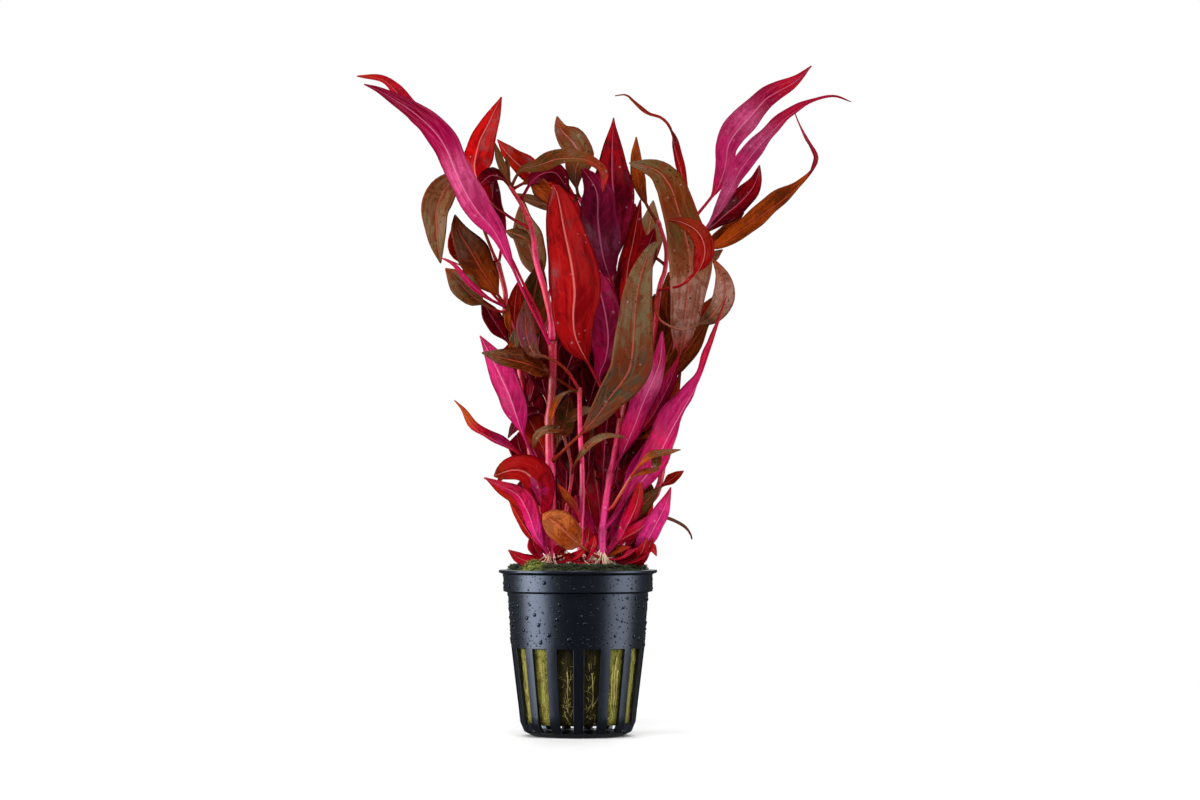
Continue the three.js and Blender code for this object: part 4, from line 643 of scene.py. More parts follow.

# leaves that belong to the stem that they grow from: width, which way the upper side faces, tones from
# stalk to tip, and the midrib
# the darkRed and maroon leaves inside the bunch are dark partly by their own colour and partly as painted shade
# of the inside of the bunch
smallLeaves = {
    "stem_left": [
        (5, (0, 0.7, 0.7), "hotPink pinkRed pinkRed", [(-9, -8, 61), (-6, -9.6, 65), (-2.2, -9.4, 66.5)]),
        (5, (0.2, -0.6, 0.8), "hotPink pinkRed red", [(-9, -8, 61), (-5.8, -13, 62.4), (-2.6, -17, 64)]),
        (3.4, (0, -1, 0.6), "pinkRed red darkRed", [(-9, -8, 61.5), (-14, -9, 61.8), (-18, -10, 62),
            (-21.7, -10, 64)]),
        (5, (0.5, 0.8, 0.2), "hotPink red orangeRed", [(-9, -8, 62), (-13, -7, 65.5), (-18, -8, 72.5),
            (-23.8, -8, 82)]),
        (6, (-0.3, -0.8, 0.6), "pinkRed maroon crimson maroon", [(-9.8, -10, 109.5), (-12.5, -6, 112),
            (-16, -4, 112.5), (-21, -3, 109), (-24.5, -3, 104)]),
        (12, (0, -1, 0.3), "darkRed maroon maroon", [(-9, -7, 95), (-5, 0, 108), (-3, 4, 122), (-4, 6, 136)]),
        (10, (0, -1, 0.3), "darkRed maroon darkRed", [(-9, -7, 90), (-13, 2, 103), (-16, 5, 116),
            (-17, 6, 128)]),
        (9, (0.2, -1, 0.3), "red orangeRed rust", [(-9, -7, 93), (-14, -3, 104), (-18, -2, 112),
            (-23, -2, 118)]),
        (8, (0, -1, 0.2), "maroon green maroon", [(-8.5, -7, 98), (-6, -3, 105), (-4, -2, 112),
            (-3, -1, 119)]),
        (11, (0, -1, 0.3), "darkRed maroon brown", [(-9, -6, 112), (-12, 2, 122), (-14, 5, 134),
            (-13, 6, 146)]),
        (11, (0, -1, 0.3), "darkRed maroon maroon", [(-9, -6, 118), (-4, 2, 128), (0, 5, 140), (2, 6, 152)]),
        (4.5, (0, -1, 0.3), "red rust orangeRed", [(-9, -8, 134), (-8, -6, 139), (-9, -5, 144),
            (-10, -4, 148)]),
        (5, (0, -1, 0.3), "red rust rust", [(-9, -8, 72), (-13, -6, 78), (-15, -6, 83), (-18, -6, 87)]),
        (8, (0.2, -1, 0.3), "hotPink pinkRed magentaPink red orangeRed", [(-9, -9, 70), (-12, -12, 80),
            (-13.5, -14, 89), (-18, -15, 94.5), (-24, -15, 93), (-28, -14, 88)]),
        (7, (0.3, 0.9, 0.2), "hotPink pinkRed orangeRed red", [(-9, -9, 64), (-14, -12, 74), (-20, -14, 82),
            (-26, -14, 86), (-32, -14, 90)]),
        (6, (0, -0.5, 1), "hotPink pinkRed red", [(-9, -9, 60.5), (-5, -14, 61), (0, -16, 63), (3, -16, 66)]),
        (12, (0, -1, 0.2), "hotPink crimson maroon", [(-5, 5, 58.5), (-6, 8, 72), (-7, 9, 86), (-8, 9, 98)]),
        (7, (0, -1, 0.3), "neon hotPink red darkRed", [(-9, -8, 61), (-5, -6, 68), (-3, -5, 76),
            (-4, -4, 85)]),
        (6, (-0.3, -1, 0.4), "neon hotPink pinkRed", [(-9, -9, 61), (-12, -11, 67), (-14, -12, 74),
            (-15, -12, 81)]),
        (5, (-0.2, -1, 0.6), "hotPink pinkRed red", [(-9, -9, 60.5), (-15, -13, 60.5), (-20, -14, 62),
            (-24, -14, 65)]),
        (9, (0, -1, 0.3), "darkRed red maroon", [(-9, -6.5, 92), (-8.5, 3, 100), (-8, 7, 110), (-8, 9, 120)]),
        (5, (0, -1, 0.4), "neon pinkRed red", [(-9.5, -8, 61), (-13, -8, 63), (-15, -8, 66), (-16, -7, 71)]),
    ],
    "stem_left_upper": [
        (5, (0, -1, 0.4), "rust olive green olive", [(-15.2, -7.8, 170), (-19, -5, 174), (-25.5, -3, 176.5)]),
        (3, (0.3, 0.9, 0), "rust olive green", [(-23.3, -7, 191), (-27, -6, 200), (-29, -5, 207)]),
        (2.5, (-0.5, -0.8, 0), "rust olive brown", [(-23.4, -7, 191.2), (-24.6, -6, 197),
            (-24.8, -5.5, 203)]),
        (6, (0, -1, 0.3), "darkRed maroon darkRed", [(-23.5, -7, 191.5), (-27, -5, 195), (-31, -4, 195.5),
            (-36, -3, 191)]),
        (7, (0, -1, 0.4), "red rust orange rust", [(-22.5, -6, 191), (-17, -3, 193.5), (-12, -1, 190),
            (-8, 0, 185)]),
        (7.5, (0, 1, 0.3), "pinkRed pinkCrimson crimson maroon", [(-20, -6, 187), (-15, -3, 195),
            (-8, -1, 197), (-3, -1, 190)]),
    ],
    "stem_far_left": [
        (2, (0.7, 0.2, 0.7), "hotPink pinkRed orange tan", [(-25.4, 2, 149.4), (-30.9, 2, 155.7),
            (-37, 1.5, 162.4), (-44.7, -3, 166), (-47.5, -8, 166.5)]),
        (3, (0, -0.7, 0.7), "olive oliveGrey olive", [(-27.9, 0.2, 164), (-33, -1.8, 166),
            (-37.6, -2.4, 164.6)]),
        (2.6, (0, -1, 0), "pinkRed orange rust", [(-22.4, 4, 139.4), (-24.5, 1, 144), (-24.6, 0, 151)]),
        (3.6, (0, -1, 0.3), "rust orange rust", [(-22.2, 4, 139), (-22.6, 1, 136.4), (-24.6, 0, 134.6)]),
        (7, (0.3, 0.9, 0), "pinkRed crimson maroon crimson", [(-27.9, 0.4, 164.5), (-27, 5, 174),
            (-30, 7, 186), (-29.5, 7, 198)]),
        (6, (0.2, 0.9, 0.2), "darkRed crimson maroon", [(-18.6, 7.2, 113), (-16, 4, 120), (-14, 2, 130)]),
        (9, (0.1, -0.6, 0.8), "pinkRed crimson darkRed", [(-15.5, 7, 86), (-18, 15, 93), (-21, 24, 101),
            (-22, 33, 106)]),
        (9, (0.1, -0.7, 0.7), "rust olive rust", [(-20.2, 6, 127), (-22, 14, 138), (-23, 22, 149),
            (-22, 31, 158)]),
        (8, (0.2, 0.9, 0.1), "magenta darkRed maroon", [(-14.3, 5.4, 66), (-17, 4, 76), (-19, 3, 85),
            (-17.5, 2, 92)]),
        (5, (0.3, -1, 0.1), "red orangeRed orangeRed", [(-28, 0, 165.5), (-38, -2, 166), (-43.5, -3, 171),
            (-42, -3, 181)]),
        (7.5, (0.3, -1, 0.1), "maroon brown greyBrown", [(-28, 0, 165), (-36, 0, 166), (-40, 1, 171),
            (-40, 1, 179)]),
        (7, (0, -1, 0.2), "maroon darkRed brown", [(-22, 4, 134), (-26, 3, 140), (-30, 2, 146),
            (-34, 1, 153)]),
        (5.5, (0, -1, 0.2), "red orangeRed darkRed", [(-22, 4, 138), (-22.5, 3, 146), (-22, 2, 152),
            (-21, 2, 159)]),
        (11, (0, -1, 0.2), "darkRed brown green brown", [(-20, 6, 125), (-18, 6, 137), (-16, 6, 151),
            (-13, 5, 167)]),
        (10, (0, -1, 0.2), "crimson maroon darkRed", [(-16.5, 8, 98), (-19, 9, 110), (-22, 9, 122),
            (-24, 8, 134)]),
        (4, (-0.3, -1, 0.3), "greyGreen greenGrey greyGreen", [(-21.5, 3, 134), (-22, -4, 137),
            (-22, -7, 142)]),
        (2.2, (0, -1, 0.4), "hotPink pinkRed hotPink pinkRed", [(-25.6, 1, 150), (-32, -8, 153),
            (-38, -10, 158), (-43, -10.5, 164), (-47.5, -10, 166.5)]),
    ],
    "stem_thin_centre": [
        (2.5, (-0.3, -1, 0.4), "green olive orange rust", [(0.6, -11, 120.6), (-5, -13.6, 119),
            (-7.7, -15, 115.7), (-9.1, -16, 111.4), (-9.7, -16.2, 107.4)]),
        (3, (0.2, 1, 0), "hotPink pinkRed orange orangeRed", [(1.2, -12, 74), (-0.8, -14, 79),
            (-3.3, -14.4, 82.8), (-6.9, -14, 87.8)]),
        (4, (0, 1, 0), "darkRed maroon green", [(1.5, -12, 85), (3.4, -12, 90), (4, -9, 98), (5.5, -6, 108)]),
        (5, (0, 1, 0.3), "hotPink pinkRed red", [(0.4, -12, 62), (3.2, -8, 67), (4, -5, 74)]),
        (5, (0, -0.6, 1), "hotPink pinkRed brightRed", [(0.4, -12, 60.5), (3, -15, 62), (5, -16, 66),
            (6, -16, 70)]),
        (12, (0, -1, 0.2), "crimson maroon maroon", [(1, -8, 108), (5, 0, 120), (8, 4, 132), (9, 5, 145)]),
        (12, (0, -1, 0.2), "hotPink crimson maroon", [(3, 5, 58.5), (2, 8, 72), (3, 9, 86), (1, 9, 98)]),
        (10, (0, -1, 0.2), "crimson maroon green", [(0.6, -8, 84), (-2, 0, 94), (-3, 3, 104), (-1, 4, 116)]),
    ],
    "stem_right": [
        (4, (0.4, 0.9, 0), "hotPink crimson magenta", [(8.7, -9, 71), (11.5, -6.4, 77), (14, -5.4, 83),
            (13.6, -5, 89)]),
        (4, (0.3, -0.6, 0.8), "hotPink pinkRed hotPink", [(8.7, -9, 61.2), (15, -12, 62.4),
            (20.5, -14, 65.5)]),
        (4, (0, -0.7, 0.7), "orange orange pinkRed", [(8.7, -9, 61.5), (13, -10.5, 64.5), (18.4, -11.4, 66)]),
        (12, (0, -1, 0.2), "hotPink crimson maroon", [(12, 5, 58.5), (13, 7, 72), (14, 8, 86), (16, 8, 98)]),
        (9, (0.1, 1, 0.2), "magenta crimson crimson maroon", [(8.8, -7, 80), (9, -2, 94), (10, 0, 108),
            (12, 2, 121)]),
        (11, (0, -1, 0.2), "darkRed maroon crimson", [(10.5, -6, 88), (16, 0, 102), (20, 2, 114),
            (22, 3, 127)]),
        (9, (0, -1, 0.3), "red darkRed red", [(10, -7, 83), (18, -1, 94), (25, 0, 105), (29, 0, 117)]),
        (11, (-0.4, 0.9, 0.2), "hotPink pink magentaPink pink magentaPink", [(9, -9, 72), (16, -9, 82),
            (23, -8, 93), (30, -7, 104), (34, -6, 113)]),
        (5.5, (-0.3, 0.9, 0.2), "magenta pinkRed magenta pinkRed", [(13, -5, 98), (24, -3, 109),
            (31, -3, 121), (36, -2, 134)]),
        (5, (0, -1, 0.3), "red orange orangeRed", [(14, -4, 102), (27, -1, 106), (32, 0, 115), (36, 0, 127)]),
        (12, (0, -1, 0.2), "crimson maroon darkRed", [(15.5, 3, 125), (12, 6, 135), (11, 8, 147),
            (13, 9, 160)]),
        (12, (0, -1, 0.2), "darkRed rust brown", [(16, 2, 120), (22, 6, 130), (26, 8, 142), (27, 9, 155)]),
        (11, (0, -1, 0.2), "darkRed rust rust", [(16, 2, 115), (24, 4, 122), (31, 5, 132), (35, 5, 144)]),
        (12, (0, -1, 0.2), "pinkRed darkRed maroon red darkRed", [(15.6, 3, 133), (16, 4, 148), (19, 5, 160),
            (24, 5, 170), (27, 5, 178)]),
        (7, (0, 1, 0.2), "darkRed red darkRed", [(16, 3, 133), (17, 4, 160), (19.5, 4, 174), (22, 4, 188)]),
        (8, (0.1, -1, 0.2), "darkRed rust brown", [(16, 2, 118), (30, 2, 126), (39, 2, 136), (47, 1, 148)]),
        (6, (-0.2, 0.9, 0.3), "neon hotPink pinkRed orangeRed", [(8.9, -9, 62), (15, -12, 70), (20, -12, 80),
            (22, -11, 90)]),
        (5.5, (-0.2, 0.9, 0.4), "hotPink pinkRed pink", [(8.9, -9, 63), (14, -11, 68), (21, -12, 72),
            (27, -11, 78)]),
        (6, (0, 1, 0.2), "hotPink crimson red", [(9, -9, 66), (13, -8, 76), (17, -7, 85), (18, -6, 92)]),
        (6, (-0.3, 0.9, 0.3), "hotPink pinkRed brightRed", [(9, -9, 62), (17, -9, 66), (23, -8, 74),
            (26, -7, 84)]),
        (6, (0, -1, 0.3), "red rust olive greyGreen", [(9, -8, 70), (18, -8, 76), (24, -8, 82),
            (29, -8, 87)]),
        (6.5, (0, -0.6, 1), "hotPink pinkRed red", [(9.5, -9, 60), (18, -11, 61), (23.5, -11, 64),
            (26, -11, 69)]),
        (6, (0, 0.9, 0.4), "pinkRed red brightRed", [(9.5, -8, 60), (17, -7, 62), (21, -6, 67),
            (24, -5, 73)]),
        (5.5, (0, -0.6, 1), "hotPink pinkRed orangeRed", [(8.7, -9, 60.5), (4, -14, 61), (-1, -16, 61.5),
            (-6, -16, 64)]),
        (11, (0, -1, 0.3), "hotPink pinkRed red darkRed", [(8.9, -9, 66), (7, 0, 84), (5, 3, 100),
            (3, 4, 116)]),
        (10, (0.2, -1, 0.3), "hotPink pinkRed crimson darkRed", [(8.9, -9, 70), (13, -2, 88), (15, 2, 104),
            (14, 4, 120)]),
        (8, (0, -1, 0.3), "neon hotPink magenta pinkRed", [(8.7, -8.6, 61), (4, -6, 68), (1, -5, 76),
            (-1, -4, 84)]),
        (7, (0.3, -1, 0.3), "neon hotPink magenta red", [(8.9, -8.8, 62), (13, -8, 70), (16, -8, 78),
            (18, -7, 87)]),
        (8, (0, -1, 0.2), "maroon darkRed maroon", [(9.5, -7, 80), (7, 3, 92), (5, 7, 106), (4.5, 9, 122)]),
        (5, (0, -1, 0.4), "neon pinkRed red", [(9.5, -8, 61), (11, -6, 64), (11.5, -5, 68), (11, -4, 73)]),
    ],
    "stem_right_upper": [
        (5, (0, -0.9, 0.5), "rust olive oliveGrey olive", [(0.2, 5.1, 188.6), (-6, 9, 186), (-13, 10, 187),
            (-23, 9, 190.6)]),
    ],
    "stem_right_back": [
        (6, (0, 1, 0), "darkRed maroon crimson maroon", [(6, 8, 65), (6.4, 4, 80), (7.4, 2, 92),
            (9.6, 1.6, 104), (10.4, 2, 114)]),
        (11, (-0.3, 0.9, 0), "darkRed crimson red", [(12.6, 9, 87), (18, 13, 97), (23, 14, 106),
            (27, 15, 116)]),
        (9, (-0.2, 1, 0), "magenta crimson darkRed", [(5.4, 8, 63), (12, 5, 70), (16, 4.4, 79),
            (17.6, 4.8, 88)]),
        (8, (-0.3, 1, 0), "darkRed maroon darkRed", [(19.2, 9, 107), (22, 5, 113), (25, 3, 122),
            (27, 2.4, 131)]),
        (5, (0.2, 1, 0), "darkRed red crimson", [(30.7, 5.2, 165), (25, 8, 170), (21, 9, 177), (20, 9, 187)]),
        (10, (0, -0.7, 0.7), "pinkRed crimson red", [(21, 9, 113), (27, 16, 122), (32, 23, 131),
            (35, 30, 141)]),
        (12, (0, -1, 0.2), "hotPink red crimson darkRed", [(6, 8, 64), (6, 9, 84), (8, 8, 104), (9, 8, 124)]),
    ],
    "stem_far_right": [
        (6, (0.2, -0.8, 0.6), "pinkRed red orangeRed pinkRed", [(12.2, 0, 62), (17, -4, 65.4),
            (21.5, -5, 66.6), (25.5, -5, 66), (27.5, -4, 62.8)]),
        (1.6, (0, -1, 1), "tan tan greyBrown brown", [(21, 0.8, 76), (26, 2, 77), (31, 1, 76), (34, 0, 74.9),
            (37.3, -1, 73), (39.2, -1, 70.7), (39.9, -1, 68.5)]),
        (4, (0, -0.9, 0.4), "pinkRed olive tan", [(23, 1, 79), (24.6, 3, 84), (24.4, 4, 90)]),
        (4, (-0.3, -0.9, 0.4), "pinkRed orangeRed orangeRed", [(27.8, 2, 86), (31.5, 1, 88.7),
            (37, 1, 92.5)]),
        (5, (-0.2, 1, 0), "orangeRed orange rust", [(30.9, 4, 105), (30, 0.5, 112), (30.8, 0, 120),
            (32.4, 0.6, 130)]),
        (1.8, (-0.6, 0, 0.8), "rust maroon greyBrown", [(31.5, 4, 112), (35, 3, 116.5), (39, 2, 119.5),
            (41.3, 2, 123), (41.7, 2, 128)]),
        (5, (-0.2, -1, 0.5), "rust rust orange rust", [(41, 3, 170.6), (46, 7.6, 172.6), (51, 10, 176),
            (58.6, 12, 184)]),
        (4, (0.2, -1, 0.3), "tan greyBrown tan", [(40.6, 3, 167.6), (46, 7, 167.4), (51, 8, 170.6)]),
        (8, (-0.3, -1, 0.3), "pinkRed orangeRed rust", [(34.4, 3.6, 134), (38.6, 6, 138), (43, 7, 144.6),
            (47.6, 8, 154)]),
        (7, (0.2, -1, 0.3), "hotPink pinkRed red", [(12, 0, 61), (8, -3, 68), (5, -3, 76), (3, -2, 84)]),
        (7, (0.5, -0.9, 0.3), "pinkRed brightRed pinkRed", [(12, 0, 61), (18, -8, 61), (22, -12, 64),
            (24, -12, 69)]),
    ],
    "shoot_centre": [
        (3.5, (0.2, -0.8, 0.6), "rust green oliveGrey green", [(-5.2, -6, 105), (-6.3, -12.4, 106.4),
            (-10.5, -14.4, 106.6), (-14, -14.4, 104.6), (-15.6, -14.4, 100)]),
        (4.5, (0.2, -0.8, 0.6), "green green oliveGrey", [(-5.1, -6, 105), (-4, -7.4, 109), (0.3, -8, 112.4),
            (6, -8, 114.4)]),
        (3.5, (-0.2, -0.8, 0.6), "rust green oliveGrey olive", [(-2.1, -6, 91.5), (-0.8, -12, 95),
            (1.5, -15.6, 98.4), (5, -16, 102), (10, -16.5, 104.4), (16.5, -17, 104)]),
    ],
    "shoot_right": [
        (3.5, (-0.3, -0.8, 0.5), "pinkRed orange olive tan", [(18.4, -16.7, 90.4), (22.3, -19, 95.2),
            (25.7, -20, 97.8), (29.5, -20, 98.4), (35.5, -19, 99.7)]),
        (3.8, (0, -1, 0.2), "olive green olive", [(25, -19.8, 97.3), (27.4, -20, 97.4), (26.6, -19.4, 92.6)]),
        (2.4, (0, -1, 0.4), "tan orange tan", [(18.2, -16.6, 90), (22.3, -17.6, 91.8), (28.3, -17.6, 92.9)]),
    ],
    "stem_back_left": [
        (9, (0.1, 1, 0), "darkRed crimson maroon", [(-6.6, 13.6, 66), (-5, 9, 78), (-4, 7, 90),
            (-5, 7, 102)]),
        (9, (0.2, 1, 0), "darkRed darkRed crimson", [(-11.3, 19.8, 118), (-10, 14, 128), (-7, 11, 140),
            (-5, 10, 152)]),
        (12, (0, 1, 0), "darkRed maroon crimson", [(-6.2, 13.4, 68), (2, 11, 79), (3.4, 9, 93),
            (2.4, 9, 107)]),
        (11, (0, 1, 0), "maroon darkRed crimson", [(-10.6, 18.4, 106), (-5, 15, 114), (-0.6, 14, 125),
            (0.6, 14, 137)]),
        (12, (0, -1, 0.2), "hotPink crimson darkRed maroon", [(-6, 13, 62), (-4, 10, 84), (-1, 9, 104),
            (1, 9, 124)]),
    ],
    "stem_back_right": [
        (10, (-0.1, 1, 0), "darkRed maroon darkRed", [(12.6, 20.6, 111), (9, 13, 119), (7.4, 8, 130),
            (7, 7, 143)]),
        (10, (0, -0.8, 0.6), "pinkRed red rust", [(15, 24.5, 150.4), (10, 31, 164), (8, 37, 177),
            (9, 42, 194)]),
        (9, (0, 1, 0), "darkRed crimson darkRed", [(13.4, 21.2, 118), (17, 16, 128), (20, 14, 140),
            (20, 13, 152)]),
    ],
}

# stems: radius at the foot and the top, knots as shares of the length, tones and route from the foot up
stems = {
    "stem_left": dict(radius=(1.65, 1.45), knots=[0.17, 0.51, 0.7, 1],
        tones="neon hotPink pinkRed hotPink red darkRed pinkRed", route=[(-9, -8, 46), (-9, -8, 61),
        (-9.1, -9, 78.5), (-9.6, -10, 92.5), (-9.8, -10, 109.6), (-8.7, -10, 124), (-8.8, -10, 137.4)]),
    "stem_left_upper": dict(radius=(1.2, 0.7), knots=[0.55, 0.68],
        tones="hotPink pinkRed hotPink pinkRed red", route=[(-8.9, -10, 137.75), (-9.4, -9.5, 145.6),
        (-11.7, -9, 155.7), (-14.4, -8, 165), (-15.9, -7.5, 176), (-19, -7, 184), (-23.9, -7, 192)]),
    "stem_far_left": dict(radius=(1.2, 0.9), knots=[0.3, 0.66, 0.78, 1],
        tones="pinkRed hotPink red pinkRed pinkRed red", route=[(-13, 5, 46), (-14, 5, 61), (-15.5, 7, 85),
        (-17.5, 8, 105), (-20, 6, 125), (-22.4, 4, 139.7), (-25.4, 2, 149.4), (-25.6, 1, 155.5),
        (-28.3, 0, 166)]),
    "stem_thin_centre": dict(radius=(0.95, 0.8), knots=[0.52, 0.99],
        tones="magenta hotPink magenta hotPink pinkRed", route=[(0.4, -12, 46), (0.4, -12, 61),
        (1.5, -12, 79.7), (1.5, -12, 94), (0.8, -11, 106), (0.6, -11, 121.4)]),
    "stem_right": dict(radius=(1.35, 1), knots=[0.28, 0.5, 0.72, 1], tones="neon neon hotPink red pinkRed",
        route=[(8.7, -9, 46), (8.7, -9, 61), (8.7, -9, 72.6), (10.3, -8, 85), (12.9, -6, 98.7),
        (15.1, -3, 111), (16.2, 0, 119), (15.6, 3, 134)]),
    "stem_right_upper": dict(radius=(0.95, 0.7), knots=[0.4, 1], tones="red pinkRed red hotPink",
        route=[(15.55, 3.1, 134.35), (13, 6, 158), (7, 8, 175), (0, 5, 189.6)]),
    "stem_right_back": dict(radius=(1.1, 0.8), knots=[0.4, 0.58, 0.8, 1],
        tones="magenta red crimson pinkRed red", route=[(4, 6, 46), (5, 8, 61), (12, 9, 85), (20, 9, 110),
        (26, 7, 135), (28.5, 4, 156), (30.5, 5, 163), (31, 6, 171), (28, 8, 181)]),
    "stem_far_right": dict(radius=(1.15, 0.85), knots=[0.3, 0.6, 0.93, 1],
        tones="neon hotPink pinkRed magenta pinkRed red", route=[(12, 2, 46), (12, 0, 61), (17.6, 0, 71),
        (22.3, 1, 78), (28.2, 2, 86.7), (30.4, 4, 100), (31.5, 4, 112), (33, 3, 125), (35.5, 4, 145),
        (38.5, 4, 160), (41, 3, 172), (40.6, 3, 182)]),
    "shoot_centre": dict(radius=(0.75, 0.55), knots=[0.76, 1], tones="magenta hotPink pinkRed rust",
        route=[(-5.5, -5, 46), (-5, -5, 61), (-4.2, -5.5, 77), (-3, -6, 84.4), (-2.1, -6, 91.5),
        (-2.8, -6, 97), (-5.2, -6, 105.5)]),
    "shoot_right": dict(radius=(0.55, 0.5), knots=[1], tones="pinkRed orange orangeRed",
        route=[(9.8, -8.4, 78.4), (11.9, -10.8, 79.8), (14.5, -14, 84), (18.8, -17, 91)]),
    "stem_back_left": dict(radius=(1.2, 0.8), knots=[0.35, 0.6, 1], tones="magenta crimson red crimson",
        route=[(-5, 12, 46), (-6, 13, 61), (-9, 16, 85), (-11, 19, 112), (-12, 22, 135), (-11, 24, 156)]),
    "stem_back_right": dict(radius=(1.2, 0.8), knots=[0.4, 0.66, 1], tones="magenta crimson red crimson",
        route=[(6, 13, 46), (7, 14, 61), (10, 18, 87), (13, 21, 115), (15, 23, 135), (15, 24.5, 151)]),
}

for number, (name, leaf) in enumerate(leaves.items()):
    bm = newPlantMesh()
    own = {key: value for key, value in leaf.items() if key != "kind"}
    addLeaf(bm, other=leafKinds[leaf["kind"]]["other"], seed=number + 1, **own)
    piece = newObject(name + "_blade", bm, leafMaterials[leaf["kind"]])
    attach(piece, "root")
    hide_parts(name)
print("leaves made:", len(leaves))

stemShape = {"sides": 14, "step": 1.2, "swell": 0.3, "swellLength": 2.2, "ripples": 0.03, "ridges": 0.045,
    "ends": 0.82, "knotShade": 0.55}


def addStem(bm, route, radius, knots, tones):
    line = Line(route)
    count = round(line.length / stemShape["step"])
    sides = stemShape["sides"]
    darkRed = Vector(paint(*palette["darkRed"]))
    rings = []
    for i in range(count + 1):
        s = i / count
        way = line.way(s)
        top = Vector((0, 1, 0))
        top = (top - way * way.y).normalized()
        side = way.cross(top)
        near = min(abs(s - knot) * line.length for knot in knots)
        swell = math.exp(-((near / stemShape["swellLength"]) ** 2))
        r = radius[0] + (radius[1] - radius[0]) * s
        r *= 1 + stemShape["swell"] * swell + stemShape["ripples"] * math.sin(s * line.length * 0.6)
        if i in (0, count):
            r *= stemShape["ends"]
        ring = []
        for k in range(sides):
            turn = 2 * math.pi * k / sides
            ridge = 1 + stemShape["ridges"] * math.cos(turn * 4 + s * 2)
            out = side * math.cos(turn) + top * math.sin(turn)
            ring.append(bm.verts.new((line.at(s) + out * r * ridge) * mm))
        rings.append((ring, s, toneAt(tones, s).lerp(darkRed, stemShape["knotShade"] * swell)))
    for (a, s, toneA), (b, t, toneB) in zip(rings, rings[1:]):
        for k in range(sides):
            n = (k + 1) % sides
            corners = ((k, s), (k, t), (k + 1, t), (k + 1, s))
            addFace(bm, (a[k], b[k], b[n], a[n]), (toneA, toneB, toneB, toneA),
                [(turn / sides, share * line.length) for turn, share in corners])
    for ring, s in ((rings[0][0], 0), (rings[-1][0][::-1], 1)):
        addFace(bm, ring, [toneAt(tones, s)] * sides, [(0.5, s)] * sides)


# the kind of a small leaf goes by its middle tone
middleTones = {"olive": "olive oliveGrey green greenGrey", "rust": "rust brown orange greyBrown",
    "red": "red orangeRed pinkRed brightRed", "crimson": "crimson maroon darkRed",
    "pink": "hotPink magenta magentaPink"}
smallKinds = {tone: kind for kind, tones in middleTones.items() for tone in tones.split()}
smallStalk = 0.25

for name, stem in stems.items():
    bm = newPlantMesh()
    addStem(bm, **stem)
    kinds = []
    for number, (width, up, tones, rib) in enumerate(smallLeaves[name]):
        words = tones.split()
        kind = smallKinds[words[len(words) // 2]]
        if kind not in kinds:
            kinds.append(kind)
        addLeaf(bm, rib, width, smallStalk, up, tones, leafKinds[kind]["other"], 100 + number,
            material=1 + kinds.index(kind))
    piece = newObject(name + "_shoot", bm, stemPaint, *[leafMaterials[kind] for kind in kinds])
    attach(piece, "root")
    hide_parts(name)
print("stems and small leaves made:", len(stems), sum(len(rows) for rows in smallLeaves.values()))


# the pot, in millimetres: radius and height along the walls, height and width at the ends of a slot
pot = {
    "outer": [(15.6, 0), (18.8, 1.6), (20.2, 5), (23.3, 30.8), (24.5, 50)],
    "collar": [(24.5, 50), (26.1, 50.45), (26.1, 52), (26.1, 54.4), (26.1, 56.4), (27.55, 56.95), (27.7, 57.1)],
    "inner": [(16.6, 1.3), (19.1, 5.2), (22.2, 30.8), (23.4, 49.9), (25, 51.1), (25, 57.9)],
    "rim": (27.65, 57.9), "ragged": 0.16, "collarRagged": 0.12, "innerRows": (49.9, 51.1, 54, 57.9),
    "rows": [1.6, 3.2, 5, 8, 12, 16, 20, 24, 28, 30.8, 33, 36, 40, 44, 47, 49.2],
    "slots": 15, "firstSlot": math.radians(13), "slotLow": (1.6, 4.6), "slotTop": (30.8, 5.9),
    "ribCells": 5, "slotCells": 5, "holes": 6, "holeRing": 8.5, "holeRadius": 2.2, "holeSides": 20,
    "floor": 1.3, "bevel": 0.22, "bevelAngle": math.radians(38),
}


def radiusAt(profile, z):
    for (r, low), (nextR, high) in zip(profile, profile[1:]):
        if low <= z <= high:
            return r + (nextR - r) * (z - low) / (high - low)
    return profile[-1][0] if z > profile[-1][1] else profile[0][0]


# the angles of the wall's columns at a height, so that they follow the sides of the slots
def columnAngles(radius, z):
    (lowZ, lowWidth), (topZ, topWidth) = pot["slotLow"], pot["slotTop"]
    share = min(max((z - lowZ) / (topZ - lowZ), 0), 1)
    half = math.asin((lowWidth + (topWidth - lowWidth) * share) / 2 / radius)
    pitch = 2 * math.pi / pot["slots"]
    angles = []
    for i in range(pot["slots"]):
        middle = pot["firstSlot"] + i * pitch
        angles += [middle - half + 2 * half * k / pot["slotCells"] for k in range(pot["slotCells"])]
        gap = pitch - 2 * half
        angles += [middle + half + gap * k / pot["ribCells"] for k in range(pot["ribCells"])]
    return angles


def ringOfVerts(bm, radius, z, ragged=0.0):
    ring = []
    for angle in columnAngles(max(radius, 14), z):
        r = radius + ragged * noise.noise(Vector((math.sin(angle) * 6, math.cos(angle) * 6, z)))
        ring.append(bm.verts.new(polar(angle, r, z) * mm))
    return ring


def holeRing(bm, number, z):
    turn = 2 * math.pi * number / pot["holes"]
    verts = []
    for k in range(pot["holeSides"]):
        around = 2 * math.pi * k / pot["holeSides"]
        x = pot["holeRing"] * math.cos(turn) + pot["holeRadius"] * math.cos(around)
        y = pot["holeRing"] * math.sin(turn) + pot["holeRadius"] * math.sin(around)
        verts.append(bm.verts.new(Vector((x, y, z)) * mm))
    return verts


def joinRings(bm, low, high, turned=False, skipped=()):
    if turned:
        low, high = high, low
    for k in range(len(low)):
        if k % (pot["slotCells"] + pot["ribCells"]) in skipped:
            continue
        n = (k + 1) % len(low)
        bm.faces.new((low[k], low[n], high[n], high[k]))


